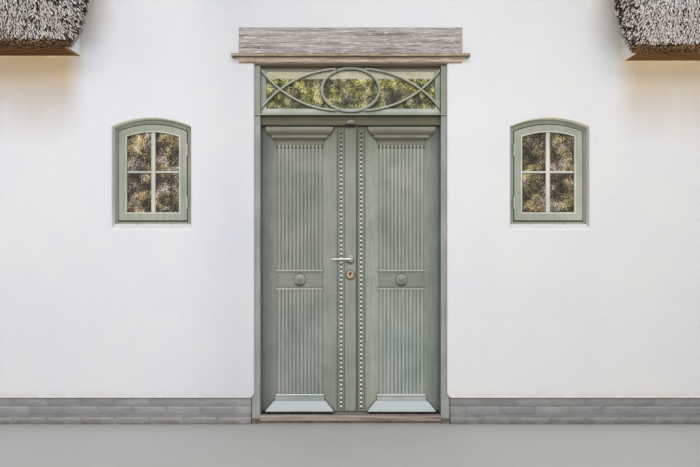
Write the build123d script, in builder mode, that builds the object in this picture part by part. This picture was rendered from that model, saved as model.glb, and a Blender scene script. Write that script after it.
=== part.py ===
from build123d import *
from math import cos, radians, sin, sqrt, tan
import os

# Entrance front of a thatched house: a plastered wall with a two-leaf door under a
# fanlight, a small arched window on each side and the ends of two thatched eaves.
# X runs along the wall, -Y points out of the house and Z is up. The origin is on the
# ground, under the middle of the doorway and in the middle of the wall's thickness.
# Depths are measured inwards from the plaster's outer face.

os.makedirs("parts", exist_ok=True)

# Margin within which an edge counts as lying at a named place
pick_margin = 0.1

# Wall
bay_width = 5200
wall_thickness = 380
raised_front_width = 3810
cut_level = 3800
plinth_height = 189
plinth_setback = 12
door_opening_width = 1390
plaster_lap = 20
lap_corner_cut = 28
door_arris_radius = 14
window_arris_cut = 7
plinth_joint = 5

# Eaves and roof
roof_pitch = 50
left_soffit_level = 2582
right_soffit_level = 2548
soffit_reach = 180
soffit_thickness = 20
thatch_reach = 335
thatch_lean = 40
thatch_depth = 570
thatch_corner_radius = 60
thatch_foot_radius = 22
left_lap_foot = 125
right_lap_foot = 108
lap_spread = 190
lap_slant = 26
lap_corner_cut_back = 70
lap_corner_slant = 48
thatch_trim = 5
lap_shares = (0, 0.18, 0.42, 1)
rafter_width = 70
rafter_depth = 125
rafters_per_side = 3
rafter_end_margin = 55
plate_width = 150
plate_height = 130
plate_setback = 60
board_thickness = 22
running_gap = 1

# Door frame
frame_recess = 20
frame_depth = 135
jamb_face = 60
jamb_arris_radius = 5
jamb_foot_level = 40
jamb_footing_setback = 12
stop_depth = 75
rebate_width = 17
rebate_height = 17
leaf_clearance = 5
leaf_head_clearance = 6
head_level = 2518
head_thickness = 13
transom_level = 2106
transom_height = 69
transom_setback = 60
sill_nose_setback = 5
sill_nose_height = 7
sill_drop = 4
sill_pitch = 15
boss_radius = 39
boss_shoulder = (0.84, 0.55)
boss_crown = (0.4, 0.94)
boss_projection = 22
boss_lift = 6

# Threshold and footing
footing_height = 25
footing_setback = 48
threshold_top = 62
threshold_setback = 15
threshold_nosing = 6

# Lintel and drip moulding
lintel_width = 1562
lintel_top = 2779
lintel_depth = 162
lintel_projection = 12
lintel_arris_radius = 4
drip_width = 1650
drip_projection = 65
drip_fillet = 19
drip_height = 70
drip_rise = 17
drip_foot_projection = 14
cove_share = (0.68, 0.3)

# Fanlight
light_side = 37
light_bottom = 48
light_top = 26
light_front = 28
light_depth = 40
light_rebate = 8
glass_front = 16
glass_thickness = 4
glass_clearance = 1
tracery_thickness = 14
tracery_bar = 17
oval_bar = 21
oval_width = 426
oval_height = 325
oval_centre_level = 2354
arc_end_x = 105
arc_end_rise = 147
arc_mid_x = 393
arc_mid_rise = 67
arc_corner_lift = 6

# Door leaves
leaf_recess = 100
leaf_thickness = 55
leaf_bottom = 70
meeting_line = 41.5
meeting_gap = 8.8
back_panel_depth = 8
back_stile = 105
back_top_rail = 120
back_bottom_rail = 220
back_middle_rail = 170
back_middle_level = 1100

# Pilaster on each leaf
pilaster_centre = 363
panel_width = 320
reed_count = 12
reed_radius = 12.4
reed_flats = 12
reed_sink = 3
reed_backing = 6
band_level = 940
band_height = 143
band_fillet = 15
band_fillet_overhang = 9
band_fillet_projection = 20
band_projection = 9
rosette_radius = 42
rosette_lobes = 8
rosette_lobe_radius = 15
rosette_thickness = 9
rosette_boss_radius = 15
rosette_boss_height = 6
rosette_boss_taper = 30
projection_share = 0.45
profile_projection = 12

# Mouldings of the pilaster's cap and base: how far each stands out, and how high it is
cap_drop = 21
cap_spread = 78.5
cap_fascia_height = 9
ovolo_spread = 42
ovolo_height = 48
ovolo_share = (0.28, 0.58)
cap_fillet_spread = 38
cap_fillet_height = 17
cavetto_head_spread = 34
cavetto_spread = 6
cavetto_height = 48
cavetto_share = (0.75, 0.4)
necking_spread = 4.5
necking_height = 25
base_lift = 6.5
base_spread = 80
base_lip_height = 6.5
slope_spread = 23
slope_height = 64
block_spread = 14.5
block_height = 32.5
torus_spread = 10
torus_swell = 3
torus_height = 13.5
dentil_width = 15
dentil_height = 18
dentil_projection = 6
dentil_lift = 3

# Bead strips and meeting strip
bead_strip_width = 54
bead_strip_thickness = 5
bead_edge_width = 8
bead_edge_height = 5
bead_strip_top = 2080
bead_strip_bottom = 85
bead_strip_gap = 2
meeting_strip_width = 77
meeting_strip_thickness = 8
meeting_strip_setback = 0.6
meeting_strip_drop = 25

# Handle and lock
handle_level = 1158
lock_level = 1047
rose_radius = 26
rose_thickness = 8
neck_radius = 6.5
grip_length = 132
grip_stand_off = 46
grip_height = 13
grip_tip_height = 10
grip_thickness = 10
spindle_radius = 5
spindle_bore_radius = 7
neck_running_gap = 0.5
escutcheon_radius = 30
escutcheon_thickness = 8
escutcheon_taper = 20
keyhole_width = 6
keyhole_length = 16

# Hinges
low_hinge_level = 300
middle_hinge_level = 1100
high_hinge_level = 1900
knuckle_radius = 8
knuckle_flats = 8
knuckle_stand_off = 10
knuckle_length = 48
knuckle_gap = 1
hinge_pin_radius = 4
hinge_pin_gap = 0.3
hinge_plate_width = 35
hinge_plate_thickness = 3
hinge_plate_margin = 10
hinge_arm_inset = 5
hinge_arm_clearance = 0.5

# Windows
window_centre = 1396
window_opening_width = 552
window_bottom = 1368
window_crown = 2150
window_arch_rise = 60
window_recess = 70
sill_rise = 40
sill_front_rise = 5
window_frame_depth = 70
window_frame_outer_face = 22
window_frame_bottom = 26
window_frame_crown = 37
window_stop = 12
casement_width = 484
casement_clearance = 3
casement_proud = 4
casement_pocket = 40
casement_stile = 48
casement_crown = 45
glazing_bead_width = 8
glazing_bead_depth = 22

# Worked out from the sizes above
front = -wall_thickness / 2
half_bay = bay_width / 2
raised_half = raised_front_width / 2
opening_half = door_opening_width / 2
daylight_half = opening_half - jamb_face
frame_back = frame_recess + frame_depth
frame_top = head_level + head_thickness
stop_back = frame_recess + stop_depth
leaf_back = leaf_recess + leaf_thickness
rebate_half = daylight_half + rebate_width
rebate_top = transom_level + rebate_height
leaf_half = rebate_half - leaf_clearance
leaf_top = rebate_top - leaf_head_clearance
hinge_x = rebate_half - leaf_clearance / 2
hinge_depth = leaf_back + knuckle_stand_off
pitch_rise = tan(radians(roof_pitch))
rafter_drop = rafter_depth / cos(radians(roof_pitch))
left_meeting_edge = meeting_line - meeting_gap / 2
right_meeting_edge = meeting_line + meeting_gap / 2
handle_x = left_meeting_edge - meeting_strip_setback - meeting_strip_width / 2
arch_radius = ((window_opening_width / 2) ** 2 + window_arch_rise ** 2) / (2 * window_arch_rise)
arch_centre_level = window_crown - arch_radius
transom_top = transom_level + transom_height
light_front_depth = frame_recess + light_front
sill_foot = transom_top - sill_drop
sill_slope = tan(radians(sill_pitch))
sill_nose_head = sill_foot + sill_nose_height
strip_face = leaf_recess - meeting_strip_thickness
cap_top = leaf_top - cap_drop
fascia_foot = cap_top - cap_fascia_height
ovolo_foot = fascia_foot - ovolo_height
cap_fillet_foot = ovolo_foot - cap_fillet_height
cavetto_foot = cap_fillet_foot - cavetto_height
upper_reeds_top = cavetto_foot - necking_height
base_foot = leaf_bottom + base_lift
slope_foot = base_foot + base_lip_height
slope_head = slope_foot + slope_height
block_head = slope_head + block_height
lower_reeds_bottom = block_head + torus_height
lower_reeds_top = band_level
upper_reeds_bottom = band_level + band_height
reed_pitch = panel_width / reed_count
hinge_levels = (low_hinge_level, middle_hinge_level, high_hinge_level)
sides = ((-1, "left", left_soffit_level), (1, "right", right_soffit_level))


def facing(depth):
    """Plane at a depth behind the plaster's face; extruding comes out towards the street."""
    return Plane.XZ.offset(-(front + depth))


def across(x):
    """Plane square to the wall at x, for outlines drawn in depth and height."""
    return Plane.YZ.offset(x)


def panel(x_one, x_two, low, high, mode=Mode.ADD):
    """Rectangle between two corners, in the sketch that is open."""
    with Locations(((x_one + x_two) / 2, (low + high) / 2)):
        Rectangle(abs(x_two - x_one), high - low, mode=mode)


def write(builder, name):
    """Label a finished piece and write it as its own STEP file."""
    builder.part.label = name
    export_step(builder.part, f"parts/{name}.step")


def between(start, end, share_across, share_down):
    """Point on the way from start to end, with its own share of each direction."""
    return (start[0] + (end[0] - start[0]) * share_across,
            start[1] + (end[1] - start[1]) * share_down)


def arched_light(centre_x, half_width, bottom, radius, mode=Mode.ADD):
    """Outline with a flat foot under a segmental arch struck from the windows' centre."""
    springing = arch_centre_level + sqrt(radius ** 2 - half_width ** 2)
    left, right = centre_x - half_width, centre_x + half_width
    with BuildLine() as outline:
        Polyline((left, springing), (left, bottom), (right, bottom), (right, springing))
        ThreePointArc((right, springing), (centre_x, arch_centre_level + radius), (left, springing))
    make_face(outline.edges(), mode=mode)


# Walls on both sides of the doorway, each one mass of masonry with its window cut through
def make_side_wall(side, name, soffit_level):
    low, high = sorted((side * (window_centre - window_opening_width),
                        side * (window_centre + window_opening_width)))
    with BuildPart() as wall:
        with BuildSketch(facing(wall_thickness)):
            panel(side * opening_half, side * half_bay, plinth_height, cut_level)
            panel(side * raised_half, side * half_bay, soffit_level + soffit_thickness,
                  cut_level, mode=Mode.SUBTRACT)
            arched_light(side * window_centre, window_opening_width / 2, window_bottom,
                         arch_radius, mode=Mode.SUBTRACT)
        extrude(amount=wall_thickness)
        with BuildSketch(facing(frame_recess)):
            panel(side * (opening_half - plaster_lap), side * opening_half, plinth_height, frame_top)
        extrude(amount=frame_recess)
        with BuildSketch(facing(lintel_depth - lintel_projection)):
            panel(side * opening_half, side * lintel_width / 2, frame_top, lintel_top)
        extrude(amount=lintel_depth, mode=Mode.SUBTRACT)
        face_edges = wall.edges().filter_by_position(Axis.Y, front - pick_margin, front + pick_margin)
        lap_x = side * (opening_half - plaster_lap)
        lap_edges = face_edges.filter_by_position(Axis.X, lap_x - pick_margin, lap_x + pick_margin)
        fillet(lap_edges, door_arris_radius)
        face_edges = wall.edges().filter_by_position(Axis.Y, front - pick_margin, front + pick_margin)
        arris = face_edges.filter_by_position(Axis.X, low, high)
        arris = arris.filter_by_position(Axis.Z, window_bottom + pick_margin, window_crown + pick_margin)
        chamfer(arris, window_arris_cut)
        lap_foot = (lap_x, plinth_height)
        with BuildSketch(facing(frame_recess)):
            with BuildLine():
                Polyline(lap_foot, (lap_x, plinth_height + lap_corner_cut),
                         (lap_x + side * lap_corner_cut, plinth_height), close=True)
            make_face()
        extrude(amount=frame_recess, mode=Mode.SUBTRACT)
    write(wall, f"{name}_wall")


for side, name, soffit_level in sides:
    make_side_wall(side, name, soffit_level)

with BuildPart() as wall_over_door:
    with BuildSketch(facing(wall_thickness)):
        panel(-opening_half, opening_half, frame_top, cut_level)
    extrude(amount=wall_thickness)
    with BuildSketch(facing(lintel_depth - lintel_projection)):
        panel(-opening_half, opening_half, frame_top, lintel_top)
    extrude(amount=lintel_depth, mode=Mode.SUBTRACT)
write(wall_over_door, "wall_over_door")

with BuildPart() as brick_plinth:
    with BuildSketch(facing(wall_thickness)):
        for side, _, _ in sides:
            panel(side * (opening_half + plinth_joint), side * half_bay, 0, plinth_height)
    extrude(amount=wall_thickness - plinth_setback)
write(brick_plinth, "brick_plinth")

# Footing under the threshold, a little higher where it carries the jambs
with BuildPart() as door_footing:
    with BuildSketch(facing(wall_thickness)):
        panel(-opening_half, opening_half, 0, footing_height)
    extrude(amount=wall_thickness - footing_setback)
    with BuildSketch(facing(frame_back)):
        for side, _, _ in sides:
            panel(side * daylight_half, side * opening_half, 0, jamb_foot_level)
    extrude(amount=frame_depth - jamb_footing_setback)
write(door_footing, "door_footing")

with BuildPart() as threshold:
    with BuildSketch(facing(frame_back)):
        panel(-daylight_half, daylight_half, footing_height, threshold_top)
    extrude(amount=frame_back - threshold_setback)
    nose = threshold.edges().filter_by(Axis.X).group_by(Axis.Y)[0].sort_by(Axis.Z)[-1]
    fillet(nose, threshold_nosing)
write(threshold, "threshold")


# Lintel beam, let into the masonry and standing a little proud of the plaster
with BuildPart() as lintel_beam:
    with BuildSketch(facing(lintel_depth - lintel_projection)):
        panel(-lintel_width / 2, lintel_width / 2, frame_top, lintel_top)
    extrude(amount=lintel_depth)
    fillet(lintel_beam.edges().group_by(Axis.Y)[0], lintel_arris_radius)
write(lintel_beam, "lintel_beam")


# Drip moulding: the same profile runs along the front and round both ends
with BuildPart() as drip_moulding:
    top = frame_top + drip_height - drip_rise
    fillet_foot = top - drip_fillet
    line_foot = frame_top
    middle = between((drip_projection, fillet_foot), (drip_foot_projection, line_foot), *cove_share)
    with BuildSketch(across(-drip_width / 2)):
        with BuildLine():
            Polyline((front, line_foot), (front, top + drip_rise), (front - drip_projection, top),
                     (front - drip_projection, fillet_foot))
            ThreePointArc((front - drip_projection, fillet_foot),
                          (front - middle[0], middle[1]), (front - drip_foot_projection, line_foot))
            Line((front - drip_foot_projection, line_foot), (front, line_foot))
        make_face()
    extrude(amount=drip_width)
    half = drip_width / 2
    foot_half = half - drip_projection + drip_foot_projection
    middle_half = half - drip_projection + middle[0]
    with BuildSketch(facing(0)):
        with BuildLine():
            Polyline((-half, fillet_foot), (-half, top + drip_rise), (half, top + drip_rise),
                     (half, fillet_foot))
            ThreePointArc((half, fillet_foot), (middle_half, middle[1]), (foot_half, line_foot))
            Line((foot_half, line_foot), (-foot_half, line_foot))
            ThreePointArc((-foot_half, line_foot), (-middle_half, middle[1]), (-half, fillet_foot))
        make_face()
    extrude(amount=drip_projection, mode=Mode.INTERSECT)
    with BuildSketch(facing(0)):
        panel(-lintel_width / 2, lintel_width / 2, frame_top, lintel_top)
    extrude(amount=lintel_projection, mode=Mode.SUBTRACT)
write(drip_moulding, "drip_moulding")

# Door frame: two rebated jambs and a head over them
with BuildPart() as door_jambs:
    with BuildSketch(facing(frame_back)):
        for side, _, _ in sides:
            panel(side * daylight_half, side * opening_half, jamb_foot_level, head_level)
    extrude(amount=frame_depth)
    with BuildSketch(facing(frame_back)):
        panel(-rebate_half, rebate_half, jamb_foot_level, rebate_top)
    extrude(amount=frame_back - stop_back, mode=Mode.SUBTRACT)
    front_edges = door_jambs.edges().filter_by(Axis.Z).group_by(Axis.Y)[0].sort_by(Axis.X)
    fillet(front_edges[1:3], jamb_arris_radius)
write(door_jambs, "door_jambs")

with BuildPart() as frame_head:
    with BuildSketch(facing(frame_back)):
        panel(-opening_half, opening_half, head_level, frame_top)
    extrude(amount=frame_depth)
write(frame_head, "frame_head")

# The transom's sill slopes to a nose that reaches over the jambs and shades the face below it
with BuildPart() as transom:
    sill_head = sill_nose_head + sill_slope * (light_front_depth - sill_nose_setback)
    with BuildSketch(across(-daylight_half)):
        with BuildLine():
            Polyline((front + light_front_depth, sill_head), (front + sill_nose_setback, sill_nose_head),
                     (front + sill_nose_setback, sill_foot), (front + transom_setback, sill_foot),
                     (front + transom_setback, transom_level), (front + stop_back, transom_level),
                     (front + stop_back, rebate_top), (front + frame_back, rebate_top),
                     (front + frame_back, transom_top), (front + light_front_depth, transom_top),
                     close=True)
        make_face()
    extrude(amount=2 * daylight_half)
    horn_half = opening_half - plaster_lap - running_gap
    horn_head = sill_nose_head + sill_slope * (frame_recess - sill_nose_setback)
    with BuildSketch(across(-horn_half)):
        with BuildLine():
            Polyline((front + frame_recess, sill_foot), (front + frame_recess, horn_head),
                     (front + sill_nose_setback, sill_nose_head), (front + sill_nose_setback, sill_foot),
                     close=True)
        make_face()
    extrude(amount=2 * horn_half)
    boss_level = transom_level + boss_lift
    boss_axis = Axis((0, 0, boss_level), (0, 1, 0))
    boss_root = front + transom_setback
    with BuildSketch(Plane.XY.offset(boss_level)):
        with BuildLine():
            turned = [(boss_radius * out, boss_root - boss_projection * forward)
                      for out, forward in ((0, 0), (1, 0), boss_shoulder, boss_crown, (0, 1))]
            Polyline(*turned, close=True)
        make_face()
    revolve(axis=boss_axis, revolution_arc=-180)
write(transom, "transom")

# Fanlight: a rebated frame, its pane and the planted tracery of an oval and four arcs
light_half = daylight_half
light_low = transom_top
light_high = head_level
clear_half = light_half - light_side
clear_low = light_low + light_bottom
clear_high = light_high - light_top
pane_front = light_front_depth + glass_front

with BuildPart() as fanlight_frame:
    with BuildSketch(facing(light_front_depth + light_depth)):
        panel(-light_half, light_half, light_low, light_high)
        panel(-clear_half, clear_half, clear_low, clear_high, mode=Mode.SUBTRACT)
    extrude(amount=light_depth)
    with BuildSketch(facing(light_front_depth + light_depth)):
        panel(-clear_half - light_rebate, clear_half + light_rebate,
              clear_low - light_rebate, clear_high + light_rebate)
    extrude(amount=light_depth - glass_front, mode=Mode.SUBTRACT)
write(fanlight_frame, "fanlight_frame")

with BuildPart() as fanlight_glass:
    rest = light_rebate - glass_clearance
    with BuildSketch(facing(pane_front + glass_thickness)):
        panel(-clear_half - rest, clear_half + rest, clear_low - rest, clear_high + rest)
    extrude(amount=glass_thickness)
write(fanlight_glass, "fanlight_glass")

with BuildPart() as fanlight_tracery:
    with BuildSketch(facing(light_front_depth)):
        with Locations((0, oval_centre_level)):
            Ellipse(oval_width / 2, oval_height / 2)
        for side in (-1, 1):
            for upright in (-1, 1):
                crown = oval_centre_level + upright * arc_end_rise
                corner = clear_low - arc_corner_lift if upright > 0 else clear_high + arc_corner_lift
                middle = oval_centre_level + upright * arc_mid_rise
                with BuildLine():
                    arc = ThreePointArc((side * light_half, corner), (side * arc_mid_x, middle),
                                        (side * arc_end_x, crown))
                trace(arc, line_width=tracery_bar)
        with Locations((0, oval_centre_level)):
            Ellipse(oval_width / 2 - oval_bar, oval_height / 2 - oval_bar, mode=Mode.SUBTRACT)
        panel(-light_half + running_gap, light_half - running_gap, light_low + running_gap,
              light_high - running_gap, mode=Mode.INTERSECT)
    extrude(amount=tracery_thickness)
write(fanlight_tracery, "fanlight_tracery")


# Door leaves
def make_leaf(name, hinge_edge, meeting_edge, has_lock):
    """Slab with two sunk panels at the back; the lock leaf is bored for the spindle."""
    inner_low, inner_high = sorted((hinge_edge, meeting_edge))
    inner_low += back_stile
    inner_high -= back_stile
    rail_low = back_middle_level - back_middle_rail / 2
    rail_high = back_middle_level + back_middle_rail / 2
    with BuildPart() as leaf:
        with BuildSketch(facing(leaf_back)):
            panel(hinge_edge, meeting_edge, leaf_bottom, leaf_top)
        extrude(amount=leaf_thickness)
        with BuildSketch(facing(leaf_back)):
            panel(inner_low, inner_high, leaf_bottom + back_bottom_rail, rail_low)
            panel(inner_low, inner_high, rail_high, leaf_top - back_top_rail)
        extrude(amount=back_panel_depth, mode=Mode.SUBTRACT)
        if has_lock:
            with BuildSketch(facing(leaf_back)):
                with Locations((handle_x, handle_level)):
                    Circle(spindle_bore_radius)
            extrude(amount=leaf_thickness, mode=Mode.SUBTRACT)
    write(leaf, f"{name}_leaf")


make_leaf("left", -leaf_half, left_meeting_edge, True)
make_leaf("right", leaf_half, right_meeting_edge, False)


# Pilaster mouldings, drawn from how far each point stands beyond the reeded panel and its height
def cap_line(start, share, sign):
    """Cap's moulding line from its top down, standing out from start by share of each spread."""
    def at(spread, level):
        return (start + sign * share * spread, level)
    fascia, ovolo = (cap_spread, fascia_foot), (ovolo_spread, ovolo_foot)
    hollow_head, hollow_foot = (cavetto_head_spread, cap_fillet_foot), (cavetto_spread, cavetto_foot)
    Line(at(cap_spread, cap_top), at(*fascia))
    ThreePointArc(at(*fascia), at(*between(fascia, ovolo, *ovolo_share)), at(*ovolo))
    Polyline(at(*ovolo), at(cap_fillet_spread, ovolo_foot), at(cap_fillet_spread, cap_fillet_foot),
             at(*hollow_head))
    ThreePointArc(at(*hollow_head), at(*between(hollow_head, hollow_foot, *cavetto_share)),
                  at(*hollow_foot))
    Polyline(at(*hollow_foot), at(necking_spread, cavetto_foot), at(necking_spread, upper_reeds_top))


def base_line(start, share, sign):
    """Base's moulding line from its foot up: sloped block, plain block and a torus."""
    def at(spread, level):
        return (start + sign * share * spread, level)
    torus_root = torus_spread - torus_swell
    Polyline(at(base_spread, base_foot), at(base_spread, slope_foot), at(slope_spread, slope_head),
             at(block_spread, slope_head), at(block_spread, block_head), at(torus_root, block_head))
    ThreePointArc(at(torus_root, block_head), at(torus_spread + torus_swell, block_head + torus_height / 2),
                  at(torus_root, lower_reeds_bottom))


def level_ends(outline, level):
    """Points of an outline that lie at one level, from left to right."""
    ends = outline.vertices().filter_by_position(Axis.Y, level - pick_margin, level + pick_margin)
    return ends.sort_by(Axis.X)


def moulded_block(moulding, low, high, centre_x, dentils=0):
    """Block whose front and sides carry one moulding, mitred, with dentils on its necking."""
    half = panel_width / 2
    face = front + leaf_recess
    start = face - profile_projection
    with BuildPart() as block:
        with BuildSketch(facing(leaf_recess)):
            with BuildLine() as outline:
                moulding(centre_x + half, 1, 1)
                moulding(centre_x - half, 1, -1)
                for level in (low, high):
                    ends = level_ends(outline, level)
                    Line(ends[0], ends[-1])
            make_face()
        extrude(amount=leaf_recess)
        with BuildSketch(across(centre_x - panel_width)):
            with BuildLine() as outline:
                moulding(start, projection_share, -1)
                for level in (low, high):
                    Line(level_ends(outline, level)[0], (face, level))
                Line((face, low), (face, high))
            make_face()
        extrude(amount=2 * panel_width, mode=Mode.INTERSECT)
        if dentils:
            with BuildSketch(facing(leaf_recess - profile_projection)):
                with Locations((centre_x, low + dentil_height / 2 + dentil_lift)):
                    with GridLocations(reed_pitch, 0, dentils, 1):
                        Rectangle(dentil_width, dentil_height)
            extrude(amount=dentil_projection)
    return block


def make_pilaster(side, name):
    """Cap, two reeded panels, band with rosette, and base, planted on the leaf."""
    centre_x = side * pilaster_centre
    cap = moulded_block(cap_line, upper_reeds_top, cap_top, centre_x, dentils=reed_count)
    write(cap, f"{name}_pilaster_cap")

    base = moulded_block(base_line, base_foot, lower_reeds_bottom, centre_x)
    write(base, f"{name}_pilaster_base")

    reed_levels = ((lower_reeds_bottom, lower_reeds_top), (upper_reeds_bottom, upper_reeds_top))
    face = front + leaf_recess
    with BuildPart() as reeds:
        for low, high in reed_levels:
            with BuildSketch(Plane.XY.offset(low)):
                with Locations((centre_x, face - reed_backing / 2)):
                    Rectangle(panel_width, reed_backing)
                with Locations((centre_x, face - reed_backing + reed_sink)):
                    with GridLocations(reed_pitch, 0, reed_count, 1):
                        RegularPolygon(reed_radius, reed_flats, major_radius=False,
                                       rotation=180 / reed_flats)
                with Locations((centre_x, face + reed_radius)):
                    Rectangle(2 * panel_width, 2 * reed_radius, mode=Mode.SUBTRACT)
            extrude(amount=high - low)
    write(reeds, f"{name}_reeded_panels")

    low, high = lower_reeds_top, upper_reeds_bottom
    half = panel_width / 2
    with BuildPart() as band:
        with BuildSketch(facing(leaf_recess)):
            panel(centre_x - half, centre_x + half, low, high)
        extrude(amount=band_projection)
        with BuildSketch(facing(leaf_recess)):
            for foot in (low, high - band_fillet):
                panel(centre_x - half - band_fillet_overhang, centre_x + half + band_fillet_overhang,
                      foot, foot + band_fillet)
        extrude(amount=band_fillet_projection)
        with BuildSketch(facing(leaf_recess - band_projection)):
            with Locations((centre_x, (low + high) / 2)):
                Circle(rosette_radius - rosette_lobe_radius)
                with PolarLocations(rosette_radius - rosette_lobe_radius, rosette_lobes):
                    Circle(rosette_lobe_radius)
        extrude(amount=rosette_thickness)
        with BuildSketch(facing(leaf_recess - band_projection - rosette_thickness)):
            with Locations((centre_x, (low + high) / 2)):
                Circle(rosette_boss_radius)
        extrude(amount=rosette_boss_height, taper=rosette_boss_taper)
    write(band, f"{name}_pilaster_band")


for side, name, _ in sides:
    make_pilaster(side, name)


# Bead strips: a shallow channel beside the meeting edges, in which the beads lie
left_strip_edge = left_meeting_edge - meeting_strip_setback - meeting_strip_width
right_strip_edge = right_meeting_edge + bead_strip_gap
for name, near, far in (("left", left_strip_edge, left_strip_edge - bead_strip_width),
                        ("right", right_strip_edge, right_strip_edge + bead_strip_width)):
    with BuildPart() as bead_strip:
        with BuildSketch(facing(leaf_recess)):
            panel(near, far, bead_strip_bottom, bead_strip_top)
        extrude(amount=bead_strip_thickness)
        outward = 1 if far > near else -1
        with BuildSketch(facing(leaf_recess - bead_strip_thickness)):
            panel(near, near + outward * bead_edge_width, bead_strip_bottom, bead_strip_top)
            panel(far, far - outward * bead_edge_width, bead_strip_bottom, bead_strip_top)
        extrude(amount=bead_edge_height)
    write(bead_strip, f"{name}_bead_strip")

with BuildPart() as meeting_strip:
    with BuildSketch(facing(leaf_recess)):
        panel(left_strip_edge, left_strip_edge + meeting_strip_width, leaf_bottom,
              leaf_top - meeting_strip_drop)
        with Locations((handle_x, handle_level)):
            Circle(spindle_bore_radius, mode=Mode.SUBTRACT)
    extrude(amount=meeting_strip_thickness)
write(meeting_strip, "meeting_strip")

# Lever handle with a flat grip and a rose on each face of the leaf, and the lock's escutcheon
with BuildPart() as handle_roses:
    for back in (strip_face, leaf_back + rose_thickness):
        with BuildSketch(facing(back)):
            with Locations((handle_x, handle_level)):
                Circle(rose_radius)
                Circle(neck_radius + neck_running_gap, mode=Mode.SUBTRACT)
        extrude(amount=rose_thickness)
write(handle_roses, "handle_roses")

with BuildPart() as lever_handle:
    for front_depth, back_depth in ((strip_face - grip_stand_off, strip_face),
                                    (leaf_back, leaf_back + grip_stand_off)):
        with BuildSketch(facing(back_depth)):
            with Locations((handle_x, handle_level)):
                Circle(neck_radius)
        extrude(amount=grip_stand_off)
        grip_back = back_depth if back_depth > leaf_back else front_depth + grip_thickness
        with BuildSketch(facing(grip_back)):
            with BuildLine():
                Polyline((handle_x + neck_radius, handle_level - grip_height / 2),
                         (handle_x + neck_radius, handle_level + grip_height / 2),
                         (handle_x - grip_length, handle_level + grip_tip_height / 2),
                         (handle_x - grip_length, handle_level - grip_tip_height / 2), close=True)
            make_face()
        extrude(amount=grip_thickness)
    with BuildSketch(facing(leaf_back)):
        with Locations((handle_x, handle_level)):
            Circle(spindle_radius)
    extrude(amount=leaf_back - strip_face)
write(lever_handle, "lever_handle")

with BuildPart() as lock_escutcheon:
    with BuildSketch(facing(strip_face)):
        with Locations((handle_x, lock_level)):
            Circle(escutcheon_radius)
    extrude(amount=escutcheon_thickness, taper=escutcheon_taper)
    with BuildSketch(facing(strip_face)):
        with Locations((handle_x, lock_level)):
            Rectangle(keyhole_width, keyhole_length)
    extrude(amount=escutcheon_thickness, mode=Mode.SUBTRACT)
write(lock_escutcheon, "lock_escutcheon")


# Hinges at the back: a lower knuckle with its pin on the frame, an upper one on the leaf
def make_hinge_halves(name, hinge_sides, on_leaf):
    """Plate, arm and knuckle of one half of each hinge on the named sides."""
    with BuildPart() as halves:
        for side in hinge_sides:
            axis_x = side * hinge_x
            towards = -side if on_leaf else side
            plate_near = axis_x + towards * hinge_plate_margin
            plate_far = plate_near + towards * hinge_plate_width
            arm_near = axis_x + towards * hinge_arm_inset
            for level in hinge_levels:
                foot = level + knuckle_gap if on_leaf else level - knuckle_length
                with BuildSketch(facing(leaf_back + hinge_plate_thickness)):
                    panel(plate_near, plate_far, level - knuckle_length, level + knuckle_length)
                extrude(amount=hinge_plate_thickness)
                with BuildSketch(facing(hinge_depth)):
                    panel(arm_near, plate_near + towards * hinge_plate_thickness,
                          foot, foot + knuckle_length - knuckle_gap)
                extrude(amount=hinge_depth - leaf_back - hinge_arm_clearance)
                with BuildSketch(Plane.XY.offset(foot)):
                    with Locations((axis_x, front + hinge_depth)):
                        RegularPolygon(knuckle_radius, knuckle_flats, major_radius=False)
                        if on_leaf:
                            Circle(hinge_pin_radius + hinge_pin_gap, mode=Mode.SUBTRACT)
                extrude(amount=knuckle_length - knuckle_gap)
                if not on_leaf:
                    with BuildSketch(Plane.XY.offset(foot)):
                        with Locations((axis_x, front + hinge_depth)):
                            Circle(hinge_pin_radius)
                    extrude(amount=2 * knuckle_length - 2 * knuckle_gap)
    write(halves, name)


make_hinge_halves("hinge_pins", (-1, 1), False)
for side, name, _ in sides:
    make_hinge_halves(f"{name}_hinge_sockets", (side,), True)

# Windows: sill, fixed frame with a stop, casement, the beads in front of its pane, and the pane
frame_front = window_recess
frame_rear = window_recess + window_frame_depth
sill_top = window_bottom + sill_rise
opening_window_half = window_opening_width / 2
casement_half = casement_width / 2
pocket_half = casement_half + casement_clearance
casement_bottom = sill_top + window_frame_bottom
casement_shift = opening_window_half - window_frame_outer_face - pocket_half
casement_radius = arch_radius - window_frame_crown
sash_half = casement_half - casement_stile
sash_radius = casement_radius - casement_crown
sash_foot = casement_bottom + casement_stile
window_pane_front = frame_front - casement_proud + glazing_bead_depth

with BuildPart() as window_sills:
    for side in (-1, 1):
        with BuildSketch(across(side * window_centre - opening_window_half)):
            with BuildLine():
                Polyline((front, window_bottom), (front, window_bottom + sill_front_rise),
                         (front + window_recess, sill_top), (front + wall_thickness, sill_top),
                         (front + wall_thickness, window_bottom), close=True)
            make_face()
        extrude(amount=window_opening_width)
write(window_sills, "window_sills")

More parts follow.
